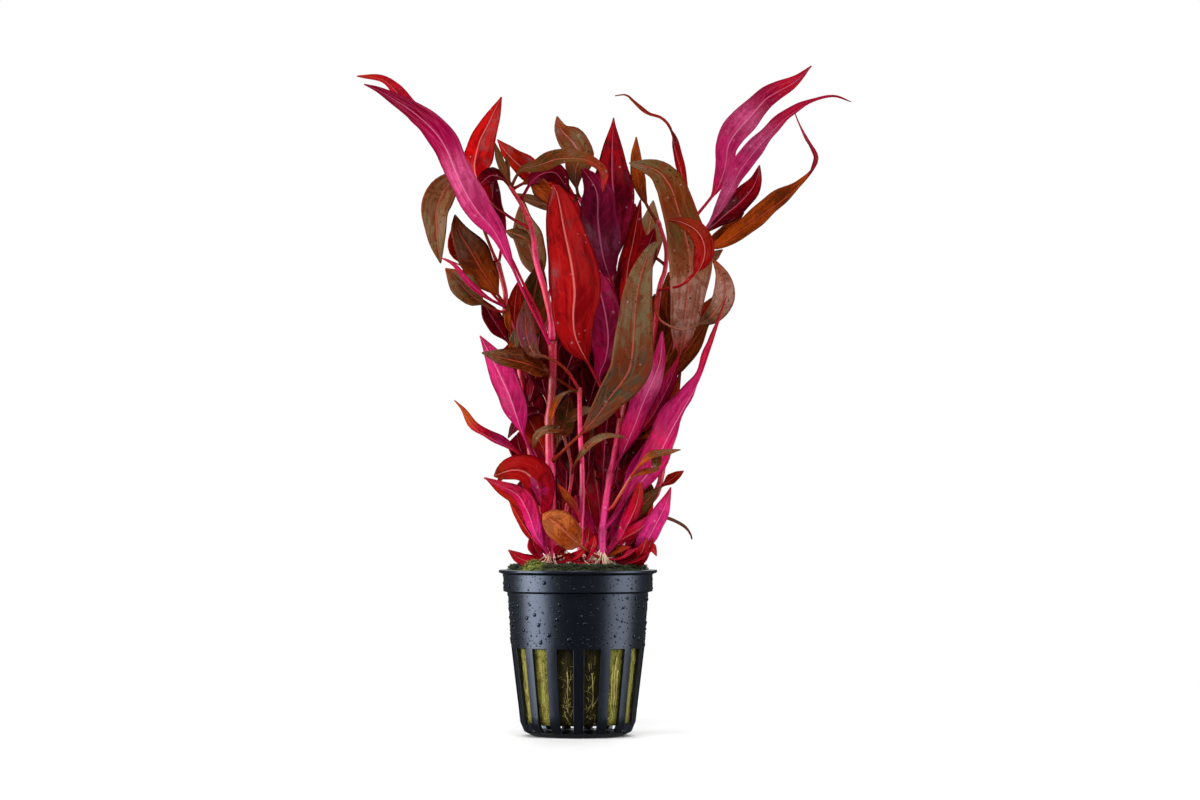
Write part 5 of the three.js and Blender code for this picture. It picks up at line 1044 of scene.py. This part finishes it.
def closeRing(bm, ring, tip, turned=False):
    for k in range(len(ring)):
        corners = (ring[k], ring[(k + 1) % len(ring)], tip)
        bm.faces.new(corners[::-1] if turned else corners)


def ringEdges(bm, ring):
    return [bm.edges.get((a, b)) or bm.edges.new((a, b)) for a, b in zip(ring, ring[1:] + ring[:1])]


def makePot(material):
    bm = bmesh.new()
    lowest, top = pot["slotLow"][0], pot["slotTop"][0]
    outer = [(z, ringOfVerts(bm, radiusAt(pot["outer"], z), z)) for z in [0, 0.8] + pot["rows"]]
    for r, z in pot["collar"]:
        outer.append((z, ringOfVerts(bm, r, z, pot["collarRagged"] if r > 27 else 0.0)))
    rimRadius, rimTop = pot["rim"]
    outer.append((rimTop, ringOfVerts(bm, rimRadius, rimTop, pot["ragged"])))
    levels = [pot["floor"], *pot["rows"], *pot["innerRows"]]
    inner = [(z, ringOfVerts(bm, radiusAt(pot["inner"], z), z)) for z in levels]
    for rings, turned in ((outer, False), (inner, True)):
        for (z, low), (nextZ, high) in zip(rings, rings[1:]):
            joinRings(bm, low, high, turned, range(pot["slotCells"]) if lowest <= z and nextZ <= top else ())
    joinRings(bm, outer[-1][1], inner[-1][1])
    # the sides, sill and head of each slot
    outerAt, innerAt = dict(outer), dict(inner)
    levels = [z for z in pot["rows"] if lowest <= z <= top]
    cells = pot["slotCells"] + pot["ribCells"]
    for i in range(pot["slots"]):
        left, right = i * cells, i * cells + pot["slotCells"]
        for z, nextZ in zip(levels, levels[1:]):
            out, within, nextOut, nextWithin = outerAt[z], innerAt[z], outerAt[nextZ], innerAt[nextZ]
            bm.faces.new((out[left], nextOut[left], nextWithin[left], within[left]))
            bm.faces.new((out[right], within[right], nextWithin[right], nextOut[right]))
        for k in range(left, right):
            out, within = outerAt[lowest], innerAt[lowest]
            bm.faces.new((out[k], out[k + 1], within[k + 1], within[k]))
            out, within = outerAt[top], innerAt[top]
            bm.faces.new((out[k], within[k], within[k + 1], out[k + 1]))
    # the floor with its drain holes
    under = [holeRing(bm, i, 0) for i in range(pot["holes"])]
    over = [holeRing(bm, i, pot["floor"]) for i in range(pot["holes"])]
    for rings, rim in ((under, outer[0][1]), (over, inner[0][1])):
        edges = ringEdges(bm, rim)
        for ring in rings:
            edges += ringEdges(bm, ring)
        bmesh.ops.triangle_fill(bm, use_beauty=True, edges=edges)
    for low, high in zip(under, over):
        joinRings(bm, low, high)
    bmesh.ops.recalc_face_normals(bm, faces=bm.faces)
    made = newObject("pot_moulding", bm, material)
    bevel = made.modifiers.new("softEdges", "BEVEL")
    bevel.width = pot["bevel"] * mm
    bevel.segments = 2
    bevel.limit_method = "ANGLE"
    bevel.angle_limit = pot["bevelAngle"]
    bevel.harden_normals = True
    return made


def potMaterial():
    material, tree, shader = newMaterial("pot_plastic")
    spots = useGroup(tree, mottle, Patch_size=90.0, Patch_share=0.5, Speckle_size=2600.0)
    wet = useGroup(tree, drops, Size=760.0, Share=0.22)
    fine = noiseIn(tree, objectPlace(tree), Scale=5200.0, Detail=1.0)
    plain = blendColours(tree, spots["Patches"], paint(3, 4, 7), paint(6, 8, 13))
    rough = ranged(tree, spots["Grain"], 0.3, 0.7, 0.29, 0.38)
    raised = maths(tree, "MULTIPLY_ADD", fine, 0.12, times(tree, wet["Drops"], 1.3))
    # the rims of the drops get a blue-black of their own, a painted stand-in for the light that the drops bend
    fill(tree, shader, Base_Color=blendColours(tree, times(tree, wet["Rims"], 0.8), plain, paint(5, 6, 10)),
        Roughness=maths(tree, "SUBTRACT", rough, times(tree, wet["Drops"], 0.32)),
        Normal=bumped(tree, raised, 0.7, 0.0003), Specular_IOR_Level=0.75, Specular_Tint=(0.62, 0.74, 1.0, 1))
    return material


# the drops are opaque: their dark blue-black colour is painted, standing in for the dark plastic seen through
# clear water
def waterMaterial():
    material, tree, shader = newMaterial("waterDrops")
    shade = noiseIn(tree, objectPlace(tree), Scale=700.0, Detail=0.0)
    fill(tree, shader, Roughness=ranged(tree, shade, 0.3, 0.7, 0.03, 0.08), Specular_Tint=(0.5, 0.66, 1.0, 1),
        Base_Color=blendColours(tree, ranged(tree, shade, 0.4, 0.6), paint(4, 5, 9), paint(12, 14, 22)))
    return material


potPiece = makePot(potMaterial())
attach(potPiece, "root")
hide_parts("pot")
print("pot made")


# a geometry nodes tree that scatters one shape over a surface, thicker where its own "where" is higher
def scatterTree(name, material):
    tree = bpy.data.node_groups.new(name, "GeometryNodeTree")
    kinds = {"Ground": "Geometry", "Shape": "Object", "Seed": "Int"}
    for label in ("Ground", "Shape", "Seed", "Density", "Least gap", "Smallest", "Largest", "Tilt", "Upright"):
        kind = "NodeSocket" + kinds.get(label, "Float")
        tree.interface.new_socket(name=label, in_out="INPUT", socket_type=kind)
    tree.interface.new_socket(name="Geometry", in_out="OUTPUT", socket_type="NodeSocketGeometry")
    start, end = tree.nodes.new("NodeGroupInput").outputs, tree.nodes.new("NodeGroupOutput").inputs

    def add(kind, settings=None, **inputs):
        return node(tree, kind, settings, **inputs).outputs

    share = add("GeometryNodeInputNamedAttribute", {"data_type": "FLOAT"}, Name="where")[0]
    points = add("GeometryNodeDistributePointsOnFaces", {"distribute_method": "POISSON"}, Mesh=start["Ground"],
        Distance_Min=start["Least gap"], Density_Max=start["Density"], Density_Factor=share, Seed=start["Seed"])
    size = add("FunctionNodeRandomValue", {"data_type": "FLOAT"}, in2=start["Smallest"], in3=start["Largest"],
        Seed=start["Seed"])[1]
    up = add("ShaderNodeMix", {"data_type": "VECTOR"}, in0=start["Upright"], in4=points["Normal"],
        in5=(0.0, 0.0, 1.0))[1]
    aligned = add("FunctionNodeAlignRotationToVector", {"axis": "Z"}, Vector=up)[0]
    low = add("ShaderNodeCombineXYZ", Z=-3.1416)[0]
    high = add("ShaderNodeCombineXYZ", X=start["Tilt"], Y=start["Tilt"], Z=3.1416)[0]
    turn = add("FunctionNodeRandomValue", {"data_type": "FLOAT_VECTOR"}, in0=low, in1=high,
        Seed=start["Seed"])[0]
    turned = add("FunctionNodeRotateRotation", {"rotation_space": "LOCAL"}, Rotation=aligned, Rotate_By=turn)[0]
    shape = add("GeometryNodeObjectInfo", {"transform_space": "ORIGINAL"}, Object=start["Shape"])["Geometry"]
    spread = add("GeometryNodeInstanceOnPoints", Points=points[0], Instance=shape, Rotation=turned,
        Scale=size)[0]
    real = add("GeometryNodeRealizeInstances", Geometry=spread)[0]
    fill(tree, end, Geometry=add("GeometryNodeSetMaterial", Geometry=real, Material=material)[0])
    return tree


# gives back the scattered copies as a plain mesh of their own
def scatter(name, ground, shape, material, **inputs):
    tree = scatterTree(name + "Nodes", material)
    carrier = bpy.data.objects.new(name + "Ground", ground)
    scene.collection.objects.link(carrier)
    modifier = carrier.modifiers.new("scatter", "NODES")
    modifier.node_group = tree
    sockets = {item.name: item.identifier for item in tree.interface.items_tree if item.in_out == "INPUT"}
    modifier[sockets["Shape"]] = shape
    for key, value in inputs.items():
        modifier[sockets[key.replace("_", " ")]] = value
    scene.view_layers[0].update()
    seen = carrier.evaluated_get(bpy.context.evaluated_depsgraph_get())
    mesh = bpy.data.meshes.new_from_object(seen)
    mesh.name = name
    bpy.data.objects.remove(carrier)
    return placeMesh(name, mesh)


def setWhere(mesh, rule):
    where = mesh.attributes.new("where", "FLOAT", "POINT")
    for vert in mesh.vertices:
        where.data[vert.index].value = rule(vert.co / mm)


# water drops that stand on the pot's side, in millimetres apart from the sizes against the shape
dropShape = {"reach": 0.5, "height": 0.24, "sides": 9, "sunk": 0.3}
dropSets = {
    "pot_drops_large": dict(Least_gap=2.3 * mm, Density=9e4, Smallest=0.7, Largest=1.7, Seed=3),
    "pot_drops_small": dict(Least_gap=0.85 * mm, Density=5.4e5, Smallest=0.28, Largest=0.72, Seed=8),
}
dropBands = [((23.42, 31.5), (24.48, 49.6)), ((26.1, 51.2), (26.1, 56))]


def makeDrop():
    bm = bmesh.new()
    up = Vector((0, 0, 1))
    frameX = up.orthogonal().normalized()
    frameY = up.cross(frameX)
    reach, height, sides = dropShape["reach"], dropShape["height"], dropShape["sides"]
    rings = []
    for share in (1.0, 0.85, 0.5):
        high = height * math.sqrt(1 - share**2) - (height * dropShape["sunk"] if share == 1.0 else 0)
        ring = []
        for k in range(sides):
            turn = 2 * math.pi * k / sides
            offset = frameX * math.cos(turn) * reach * share + frameY * math.sin(turn) * reach * share
            ring.append(bm.verts.new((offset + up * high) * mm))
        rings.append(ring)
    tip = bm.verts.new(up * height * mm)
    for low, high in zip(rings, rings[1:]):
        joinRings(bm, low, high)
    closeRing(bm, rings[-1], tip)
    bm.faces.new(rings[0][::-1])
    return newObject("dropShape", bm)


drop = makeDrop()
bm = bmesh.new()
for band in dropBands:
    low, high = [[bm.verts.new(polar(math.radians(angle), r, z) * mm) for angle in range(0, 360, 6)]
        for r, z in band]
    joinRings(bm, low, high)
dropGround = newMesh("dropGround", bm)
setWhere(dropGround, lambda place: 0.35 + 0.65 * abs(place.x) / 25)
water = waterMaterial()
dropPieces = [scatter(name, dropGround, drop, water, Tilt=0.0, **values) for name, values in dropSets.items()]
print("drops made:", [len(piece.data.polygons) for piece in dropPieces])

# the rock wool, in millimetres, with its swell in the slots
wool = {"low": 4.2, "top": 57.3, "gap": 0.5, "swell": 0.55, "lumps": 0.32, "grain": 0.16, "columns": 300,
    "rows": 66}
# the last colour is painted shade that darkens the middle of the front
woolLook = {"light": (186, 178, 98), "main": (132, 130, 56), "patch": (98, 90, 26), "dark": (52, 44, 8),
    "soaked": (0.09, 0.075, 0.035, 1)}


def woolMaterial():
    material, tree, shader = newMaterial("rock_wool")
    place = objectPlace(tree)
    spots = useGroup(tree, mottle, Patch_size=130.0, Patch_share=0.55, Speckle_size=1500.0)
    bend = node(tree, "ShaderNodeTexNoise", Vector=place, Scale=150.0, Detail=2.0).outputs["Color"]
    bent = node(tree, "ShaderNodeVectorMath", {"operation": "MULTIPLY_ADD"}, in0=bend,
        in1=(0.009, 0.009, 0.004), in2=place).outputs[0]
    threads = node(tree, "ShaderNodeMapping", Vector=bent, Scale=(2400.0, 2400.0, 260.0)).outputs[0]
    fibres = noiseIn(tree, threads, Scale=1.0, Detail=4.0, Roughness=0.65)
    # painted shade: darker and brown in the middle of the front, where the lamps at the sides reach least
    split = node(tree, "ShaderNodeSeparateXYZ", Vector=place).outputs
    aside = maths(tree, "ABSOLUTE", maths(tree, "SUBTRACT", split[0], 0.0005))
    soaked = times(tree, ranged(tree, aside, 0.0115, 0.0085), ranged(tree, split[1], 0.0, -0.01))
    tinted = layered(tree, paint(*woolLook["main"]),
        (spots["Patches"], paint(*woolLook["patch"])),
        (times(tree, ranged(tree, fibres, 0.5, 0.68), 0.55), paint(*woolLook["light"])),
        (times(tree, ranged(tree, fibres, 0.5, 0.34), 0.7), paint(*woolLook["dark"])))
    fill(tree, shader, Base_Color=blendColours(tree, soaked, tinted, woolLook["soaked"], "MULTIPLY"),
        Roughness=ranged(tree, fibres, 0.3, 0.7, 0.85, 0.6), Normal=bumped(tree, fibres, 0.9, 0.0005),
        Specular_IOR_Level=0.15)
    return material


def woolRadius(z, inSlot):
    return radiusAt(pot["inner"], z) - wool["gap"] + wool["swell"] * inSlot


def woolSpot(angle, z, lift):
    return polar(angle, woolRadius(z, 0.8) + lift, z)


def makeWool(material):
    bm = bmesh.new()
    rings = []
    for i in range(wool["rows"] + 1):
        z = wool["low"] + (wool["top"] - wool["low"]) * i / wool["rows"]
        ring = []
        for k in range(wool["columns"]):
            turn = 2 * math.pi * k / wool["columns"]
            inSlot = max(0, math.cos((turn - pot["firstSlot"]) * pot["slots"]) - 0.1) / 0.9
            inSlot *= smooth(z, 4, 8) * smooth(z, 31, 28.5)
            r = woolRadius(z, inSlot)
            spot = polar(turn, r, z)
            r += wool["lumps"] * noise.noise(spot * 0.55) + wool["grain"] * noise.noise(spot * 1.7) - 0.12
            r -= 0.9 * smooth(z, 6, wool["low"])
            ring.append(bm.verts.new(polar(turn, r, z) * mm))
        rings.append(ring)
    for low, high in zip(rings, rings[1:]):
        joinRings(bm, low, high)
    for ring, turned in ((rings[0], True), (rings[-1], False)):
        z = ring[0].co.z
        previous = ring
        for share in (0.7, 0.4, 0.15):
            nextRing = [bm.verts.new((vert.co.x * share, vert.co.y * share, z)) for vert in ring]
            joinRings(bm, previous, nextRing, turned)
            previous = nextRing
        closeRing(bm, previous, bm.verts.new((0, 0, z)), turned)
    return newObject("rock_wool_felt", bm, material)


woolPiece = makeWool(woolMaterial())
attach(woolPiece, "root")
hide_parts("rock_wool_plug")


# roots and fibres are round threads along lines in millimetres
def threadMaterial(name, pale, dark):
    material, tree, shader = newMaterial(name)
    spots = useGroup(tree, mottle, Patch_size=240.0, Patch_share=0.5)
    fill(tree, shader, Base_Color=blendColours(tree, spots["Patches"], paint(*pale), paint(*dark)),
        Roughness=ranged(tree, spots["Grain"], 0.3, 0.7, 0.4, 0.6))
    return material


def addThread(bm, points, radius, tip=0.5, sides=5, step=1.0):
    line = Line(points, fine=10)
    count = max(3, round(line.length / step))
    rings = []
    for i in range(count + 1):
        s = i / count
        way = line.way(s)
        side = way.orthogonal().normalized()
        top = way.cross(side)
        r = radius * (1 + (tip - 1) * s)
        ring = []
        for k in range(sides):
            turn = 2 * math.pi * k / sides
            ring.append(bm.verts.new((line.at(s) + (side * math.cos(turn) + top * math.sin(turn)) * r) * mm))
        rings.append(ring)
    for a, b in zip(rings, rings[1:]):
        nearest = min(range(sides), key=lambda k: (a[0].co - b[k].co).length)
        b[:] = b[nearest:] + b[:nearest]
        joinRings(bm, a, b)
    bm.faces.new(rings[0][::-1])
    bm.faces.new(rings[-1])


# pale roots and fibres over the wool in the slots, stout in one slot, in millimetres and radians
slotRoot = {"seed": 21, "stoutSlot": 1, "stout": 1.7, "stoutCount": 6, "top": (18, 29), "foot": (5, 12),
    "spread": 0.065, "wander": 0.022, "within": 0.07, "step": (2.5, 5), "radius": (0.06, 0.11),
    "pale": (196, 184, 104), "dark": (128, 114, 50)}
fibre = {"count": 38, "radius": 0.045, "low": 4.5, "high": 29, "most": 6, "spread": 0.08, "lean": 0.09,
    "rise": (-1, 3.5)}

bm = bmesh.new()
random.seed(slotRoot["seed"])
for number in range(pot["slots"]):
    middle = pot["firstSlot"] + number * 2 * math.pi / pot["slots"]
    stout = number == slotRoot["stoutSlot"]
    thicker = slotRoot["stout"] if stout else 1
    for _ in range(slotRoot["stoutCount"] if stout else random.choice((1, 1, 2))):
        angle = middle + random.uniform(-slotRoot["spread"], slotRoot["spread"])
        z = random.uniform(*slotRoot["top"])
        low = random.uniform(*slotRoot["foot"])
        points = []
        while z > low:
            angle += random.uniform(-slotRoot["wander"], slotRoot["wander"])
            angle = min(max(angle, middle - slotRoot["within"]), middle + slotRoot["within"])
            points.append(woolSpot(angle, z, random.uniform(0.05, 0.3)))
            z -= random.uniform(*slotRoot["step"])
        if len(points) > 2:
            addThread(bm, points, random.uniform(*slotRoot["radius"]) * thicker, step=1.4)
    for _ in range(fibre["count"]):
        angle = middle + random.uniform(-fibre["spread"], fibre["spread"])
        z = random.triangular(fibre["low"], fibre["high"], fibre["most"])
        lean = random.uniform(-fibre["lean"], fibre["lean"])
        rise = random.uniform(*fibre["rise"])
        points = [woolSpot(angle, z, 0.0), woolSpot(angle + lean / 2, z + rise / 2, random.uniform(0.1, 0.4)),
            woolSpot(angle + lean, z + rise, 0.0)]
        addThread(bm, points, fibre["radius"], 0.8, sides=3, step=1.5)
slotRoots = newObject("slot_roots", bm, threadMaterial("root_thread", slotRoot["pale"], slotRoot["dark"]))
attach(slotRoots, "root")
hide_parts("rock_wool_plug")
print("wool and its roots made")

# the moss, in millimetres, and the yellower clump by the left of its rim
moss = {"bottom": 57.65, "top": 58.9, "reach": 24.5, "edge": 1.6, "columns": 120, "rings": 26}
clump = {"x": -15.5, "y": -16, "z": 60, "reach": 3.6, "height": 1.8, "colour": (140, 150, 56)}
mossLook = {"light": (84, 96, 34), "middle": (40, 50, 18), "dark": (14, 20, 8)}
tuftLook = {"light": (112, 124, 46), "middle": (46, 58, 20), "dark": (18, 24, 10)}


def mossHeight(x, y):
    r = math.hypot(x, y)
    spot = Vector((x, y, 0))
    lump = 0.5 * noise.noise(spot * 0.22) + 0.35 * noise.noise(spot * 0.75) + 0.15 * noise.noise(spot * 2.1)
    edge = smooth(r, moss["reach"], moss["reach"] - moss["edge"])
    away = ((x - clump["x"]) / clump["reach"]) ** 2 + ((y - clump["y"]) / clump["reach"]) ** 2
    mound = clump["height"] * math.exp(-away)
    return moss["bottom"] + 0.1 + (moss["top"] - moss["bottom"] + lump + mound) * edge


def mossMaterial(name, light, middle, dark):
    material, tree, shader = newMaterial(name)
    spots = useGroup(tree, mottle, Patch_size=260.0, Patch_share=0.5, Speckle_size=1800.0)
    near = node(tree, "ShaderNodeVectorMath", {"operation": "DISTANCE"}, in0=objectPlace(tree),
        in1=[clump[axis] * mm for axis in "xyz"]).outputs["Value"]
    tinted = layered(tree, paint(*middle),
        (spots["Patches"], paint(*dark)),
        (times(tree, spots["Speckles"], 0.7), paint(*light)),
        (ranged(tree, near, 0.0062, 0.0035, 0.0, 0.75), paint(*clump["colour"])))
    fill(tree, shader, Base_Color=tinted, Roughness=ranged(tree, spots["Grain"], 0.3, 0.7, 0.55, 0.85),
        Normal=bumped(tree, spots["Grain"], 0.9, 0.0005))
    return material


def makeMoss(material):
    bm = bmesh.new()
    columns = moss["columns"]
    centre = bm.verts.new(Vector((0, 0, mossHeight(0, 0))) * mm)
    rings = []
    for i in range(1, moss["rings"] + 1):
        r = moss["reach"] * i / moss["rings"]
        ring = []
        for k in range(columns):
            x, y = r * math.cos(2 * math.pi * k / columns), r * math.sin(2 * math.pi * k / columns)
            ring.append(bm.verts.new(Vector((x, y, mossHeight(x, y))) * mm))
        rings.append(ring)
    base = [bm.verts.new((vert.co.x, vert.co.y, moss["bottom"] * mm)) for vert in rings[-1]]
    for k in range(columns):
        n = (k + 1) % columns
        bm.faces.new((centre, rings[0][k], rings[0][n]))
        for low, high in zip(rings, rings[1:]):
            bm.faces.new((low[k], high[k], high[n], low[n]))
        bm.faces.new((rings[-1][k], base[k], base[n], rings[-1][n]))
    bm.faces.new(base[::-1])
    return newObject("moss_bed", bm, material)


mossPiece = makeMoss(mossMaterial("moss", **mossLook))
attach(mossPiece, "root")
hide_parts("moss_cushion")


# small leaves that lean out from one root, in millimetres
tuftShape = {"seed": 5, "leaves": 6, "turn": 1.05, "halfWidth": 0.13, "lean": (0.2, 0.7), "height": (0.6, 1.0)}


def makeTuft():
    bm = bmesh.new()
    random.seed(tuftShape["seed"])
    for k in range(tuftShape["leaves"]):
        turn = k * tuftShape["turn"] + random.uniform(-0.3, 0.3)
        out = Vector((math.cos(turn), math.sin(turn), 0))
        side = Vector((-out.y, out.x, 0)) * tuftShape["halfWidth"]
        lean = random.uniform(*tuftShape["lean"])
        high = random.uniform(*tuftShape["height"])
        root = bm.verts.new(Vector((0, 0, -0.05)) * mm)
        left = bm.verts.new((out * lean * 0.5 + side + Vector((0, 0, high * 0.55))) * mm)
        right = bm.verts.new((out * lean * 0.5 - side + Vector((0, 0, high * 0.55))) * mm)
        crest = bm.verts.new((out * (lean * 0.5 - 0.07) + Vector((0, 0, high * 0.6))) * mm)
        tip = bm.verts.new((out * lean + Vector((0, 0, high))) * mm)
        for corners in ((root, right, crest), (root, crest, left), (root, left, right), (tip, crest, right),
                (tip, left, crest), (tip, right, left)):
            bm.faces.new(corners)
    bmesh.ops.recalc_face_normals(bm, faces=bm.faces)
    return newObject("tuftShape", bm)


# thick round the rim, thinner among the stems, and none under the edge
def tuftShare(place):
    if place.z < 57.8:
        return 0.0
    return 1.0 if math.hypot(place.x, place.y) > 12 else 0.45


tuft = makeTuft()
tuftGround = mossPiece.data.copy()
tuftGround.name = "tuftGround"
setWhere(tuftGround, tuftShare)
tufts = scatter("moss_tufts", tuftGround, tuft, mossMaterial("mossTufts", **tuftLook), Least_gap=0.42 * mm,
    Density=2.6e6, Smallest=0.65, Largest=1.45, Seed=4, Tilt=0.5, Upright=0.6)
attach(tufts, "root")
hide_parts("moss_cushion")
print("moss made:", len(tufts.data.polygons), "tuft faces")

# pale roots round the feet of the stems, in millimetres
footRoot = {"seed": 34, "count": 30, "highest": 62, "reach": (3, 7.5), "radius": (0.11, 0.2), "within": 23,
    "pale": (252, 232, 200), "dark": (230, 188, 150)}

bm = bmesh.new()
random.seed(footRoot["seed"])
for stem in stems.values():
    foot = Vector(stem["route"][1])
    if foot.z > footRoot["highest"]:
        continue
    for _ in range(footRoot["count"]):
        turn = random.uniform(-3.1, 0.3)
        away = Vector((math.cos(turn), math.sin(turn), 0))
        reach = random.uniform(*footRoot["reach"])
        start = foot + away * 0.8 + Vector((0, 0, random.uniform(0.2, 4.6)))
        middle = foot + away * reach * 0.6 + Vector((random.uniform(-0.7, 0.7), random.uniform(-0.7, 0.7),
            random.uniform(-0.4, 1)))
        end = foot + away * reach
        if math.hypot(end.x, end.y) > footRoot["within"]:
            continue
        end.z = mossHeight(end.x, end.y) + 0.5
        middle.z = max(middle.z, mossHeight(middle.x, middle.y) + 0.2)
        addThread(bm, [start, middle, end], random.uniform(*footRoot["radius"]), step=0.9)
footRoots = newObject("foot_roots", bm, threadMaterial("footRoot", footRoot["pale"], footRoot["dark"]))
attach(footRoots, "root")
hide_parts("moss_cushion")

for piece in dropPieces:
    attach(piece, "root")
    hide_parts("pot")
for helper in (drop, tuft):
    bpy.data.objects.remove(helper)

# the studio, in metres, with the lens in millimetres; a light has a place, an aim, a size and a power
studio = {"floorRadius": 0.45, "distance": 1.3, "height": 0.08, "aimX": 0.0077, "aimZ": 0.1173, "lens": 111.4,
    "sky": (0.95, 0.96, 1.0, 1), "skyPower": 0.09}
lights = {
    "softboxLeft": ((-0.95, -0.26, 0.2), (0, 0, 0.1), (0.75, 0.9), 16.0),
    "softboxRight": ((0.95, -0.26, 0.2), (0, 0, 0.1), (0.75, 0.9), 8.5),
    "softboxTop": ((0, -0.6, 1.2), (0, 0, 0.12), (0.8, 0.5), 10.0),
    "softboxBack": ((0.1, 1.2, 1.1), (0, 0, 0.12), (1.6, 1.2), 20.0),
    "softboxFront": ((0.25, -1.2, 0.7), (0, 0, 0.14), (0.5, 0.4), 1.5),
}


# pale near the pot, and clear towards its rim, where the white air shows
def floorMaterial():
    material, tree, shader = newMaterial("paleFloor")
    away = node(tree, "ShaderNodeVectorMath", {"operation": "LENGTH"}, in0=objectPlace(tree)).outputs["Value"]
    fill(tree, shader, Alpha=ranged(tree, away, 0.42, 0.12), Base_Color=(0.9, 0.9, 0.9, 1), Roughness=0.6,
        Specular_IOR_Level=0.1)
    return material


bm = bmesh.new()
bmesh.ops.create_circle(bm, cap_ends=True, segments=64, radius=studio["floorRadius"])
floor = newObject("floor", bm, floorMaterial())
floor.visible_glossy = False  # the wet plastic mirrors no floor

world = bpy.data.worlds.new("studioAir")
scene.world = world
world.use_nodes = True
air = world.node_tree
air.nodes.clear()
skyLight = node(air, "ShaderNodeBackground", Color=studio["sky"], Strength=studio["skyPower"]).outputs[0]
skySeen = node(air, "ShaderNodeBackground", Color=(1, 1, 1, 1), Strength=1.0).outputs[0]
seen = node(air, "ShaderNodeLightPath").outputs["Is Camera Ray"]
pick = node(air, "ShaderNodeMixShader", in0=seen, in1=skyLight, in2=skySeen).outputs[0]
node(air, "ShaderNodeOutputWorld", Surface=pick)


# stands a lamp or the camera at a place, turned to its aim
def placeAimed(name, data, place, aim):
    made = bpy.data.objects.new(name, data)
    scene.collection.objects.link(made)
    made.location = place
    made.rotation_euler = (Vector(aim) - Vector(place)).to_track_quat("-Z", "Y").to_euler()
    return made


for name, (place, aim, size, power) in lights.items():
    data = bpy.data.lights.new(name, "AREA")
    data.shape = "RECTANGLE"
    data.size, data.size_y = size
    data.energy = power
    placeAimed(name, data, place, aim)

data = bpy.data.cameras.new("camera")
data.lens = studio["lens"]
data.sensor_width = 36
data.clip_start = 0.01
scene.camera = placeAimed("camera", data, (studio["aimX"], -studio["distance"], studio["height"]),
    (studio["aimX"], 0, studio["aimZ"]))
scene.view_settings.view_transform = "Standard"
print("studio set")
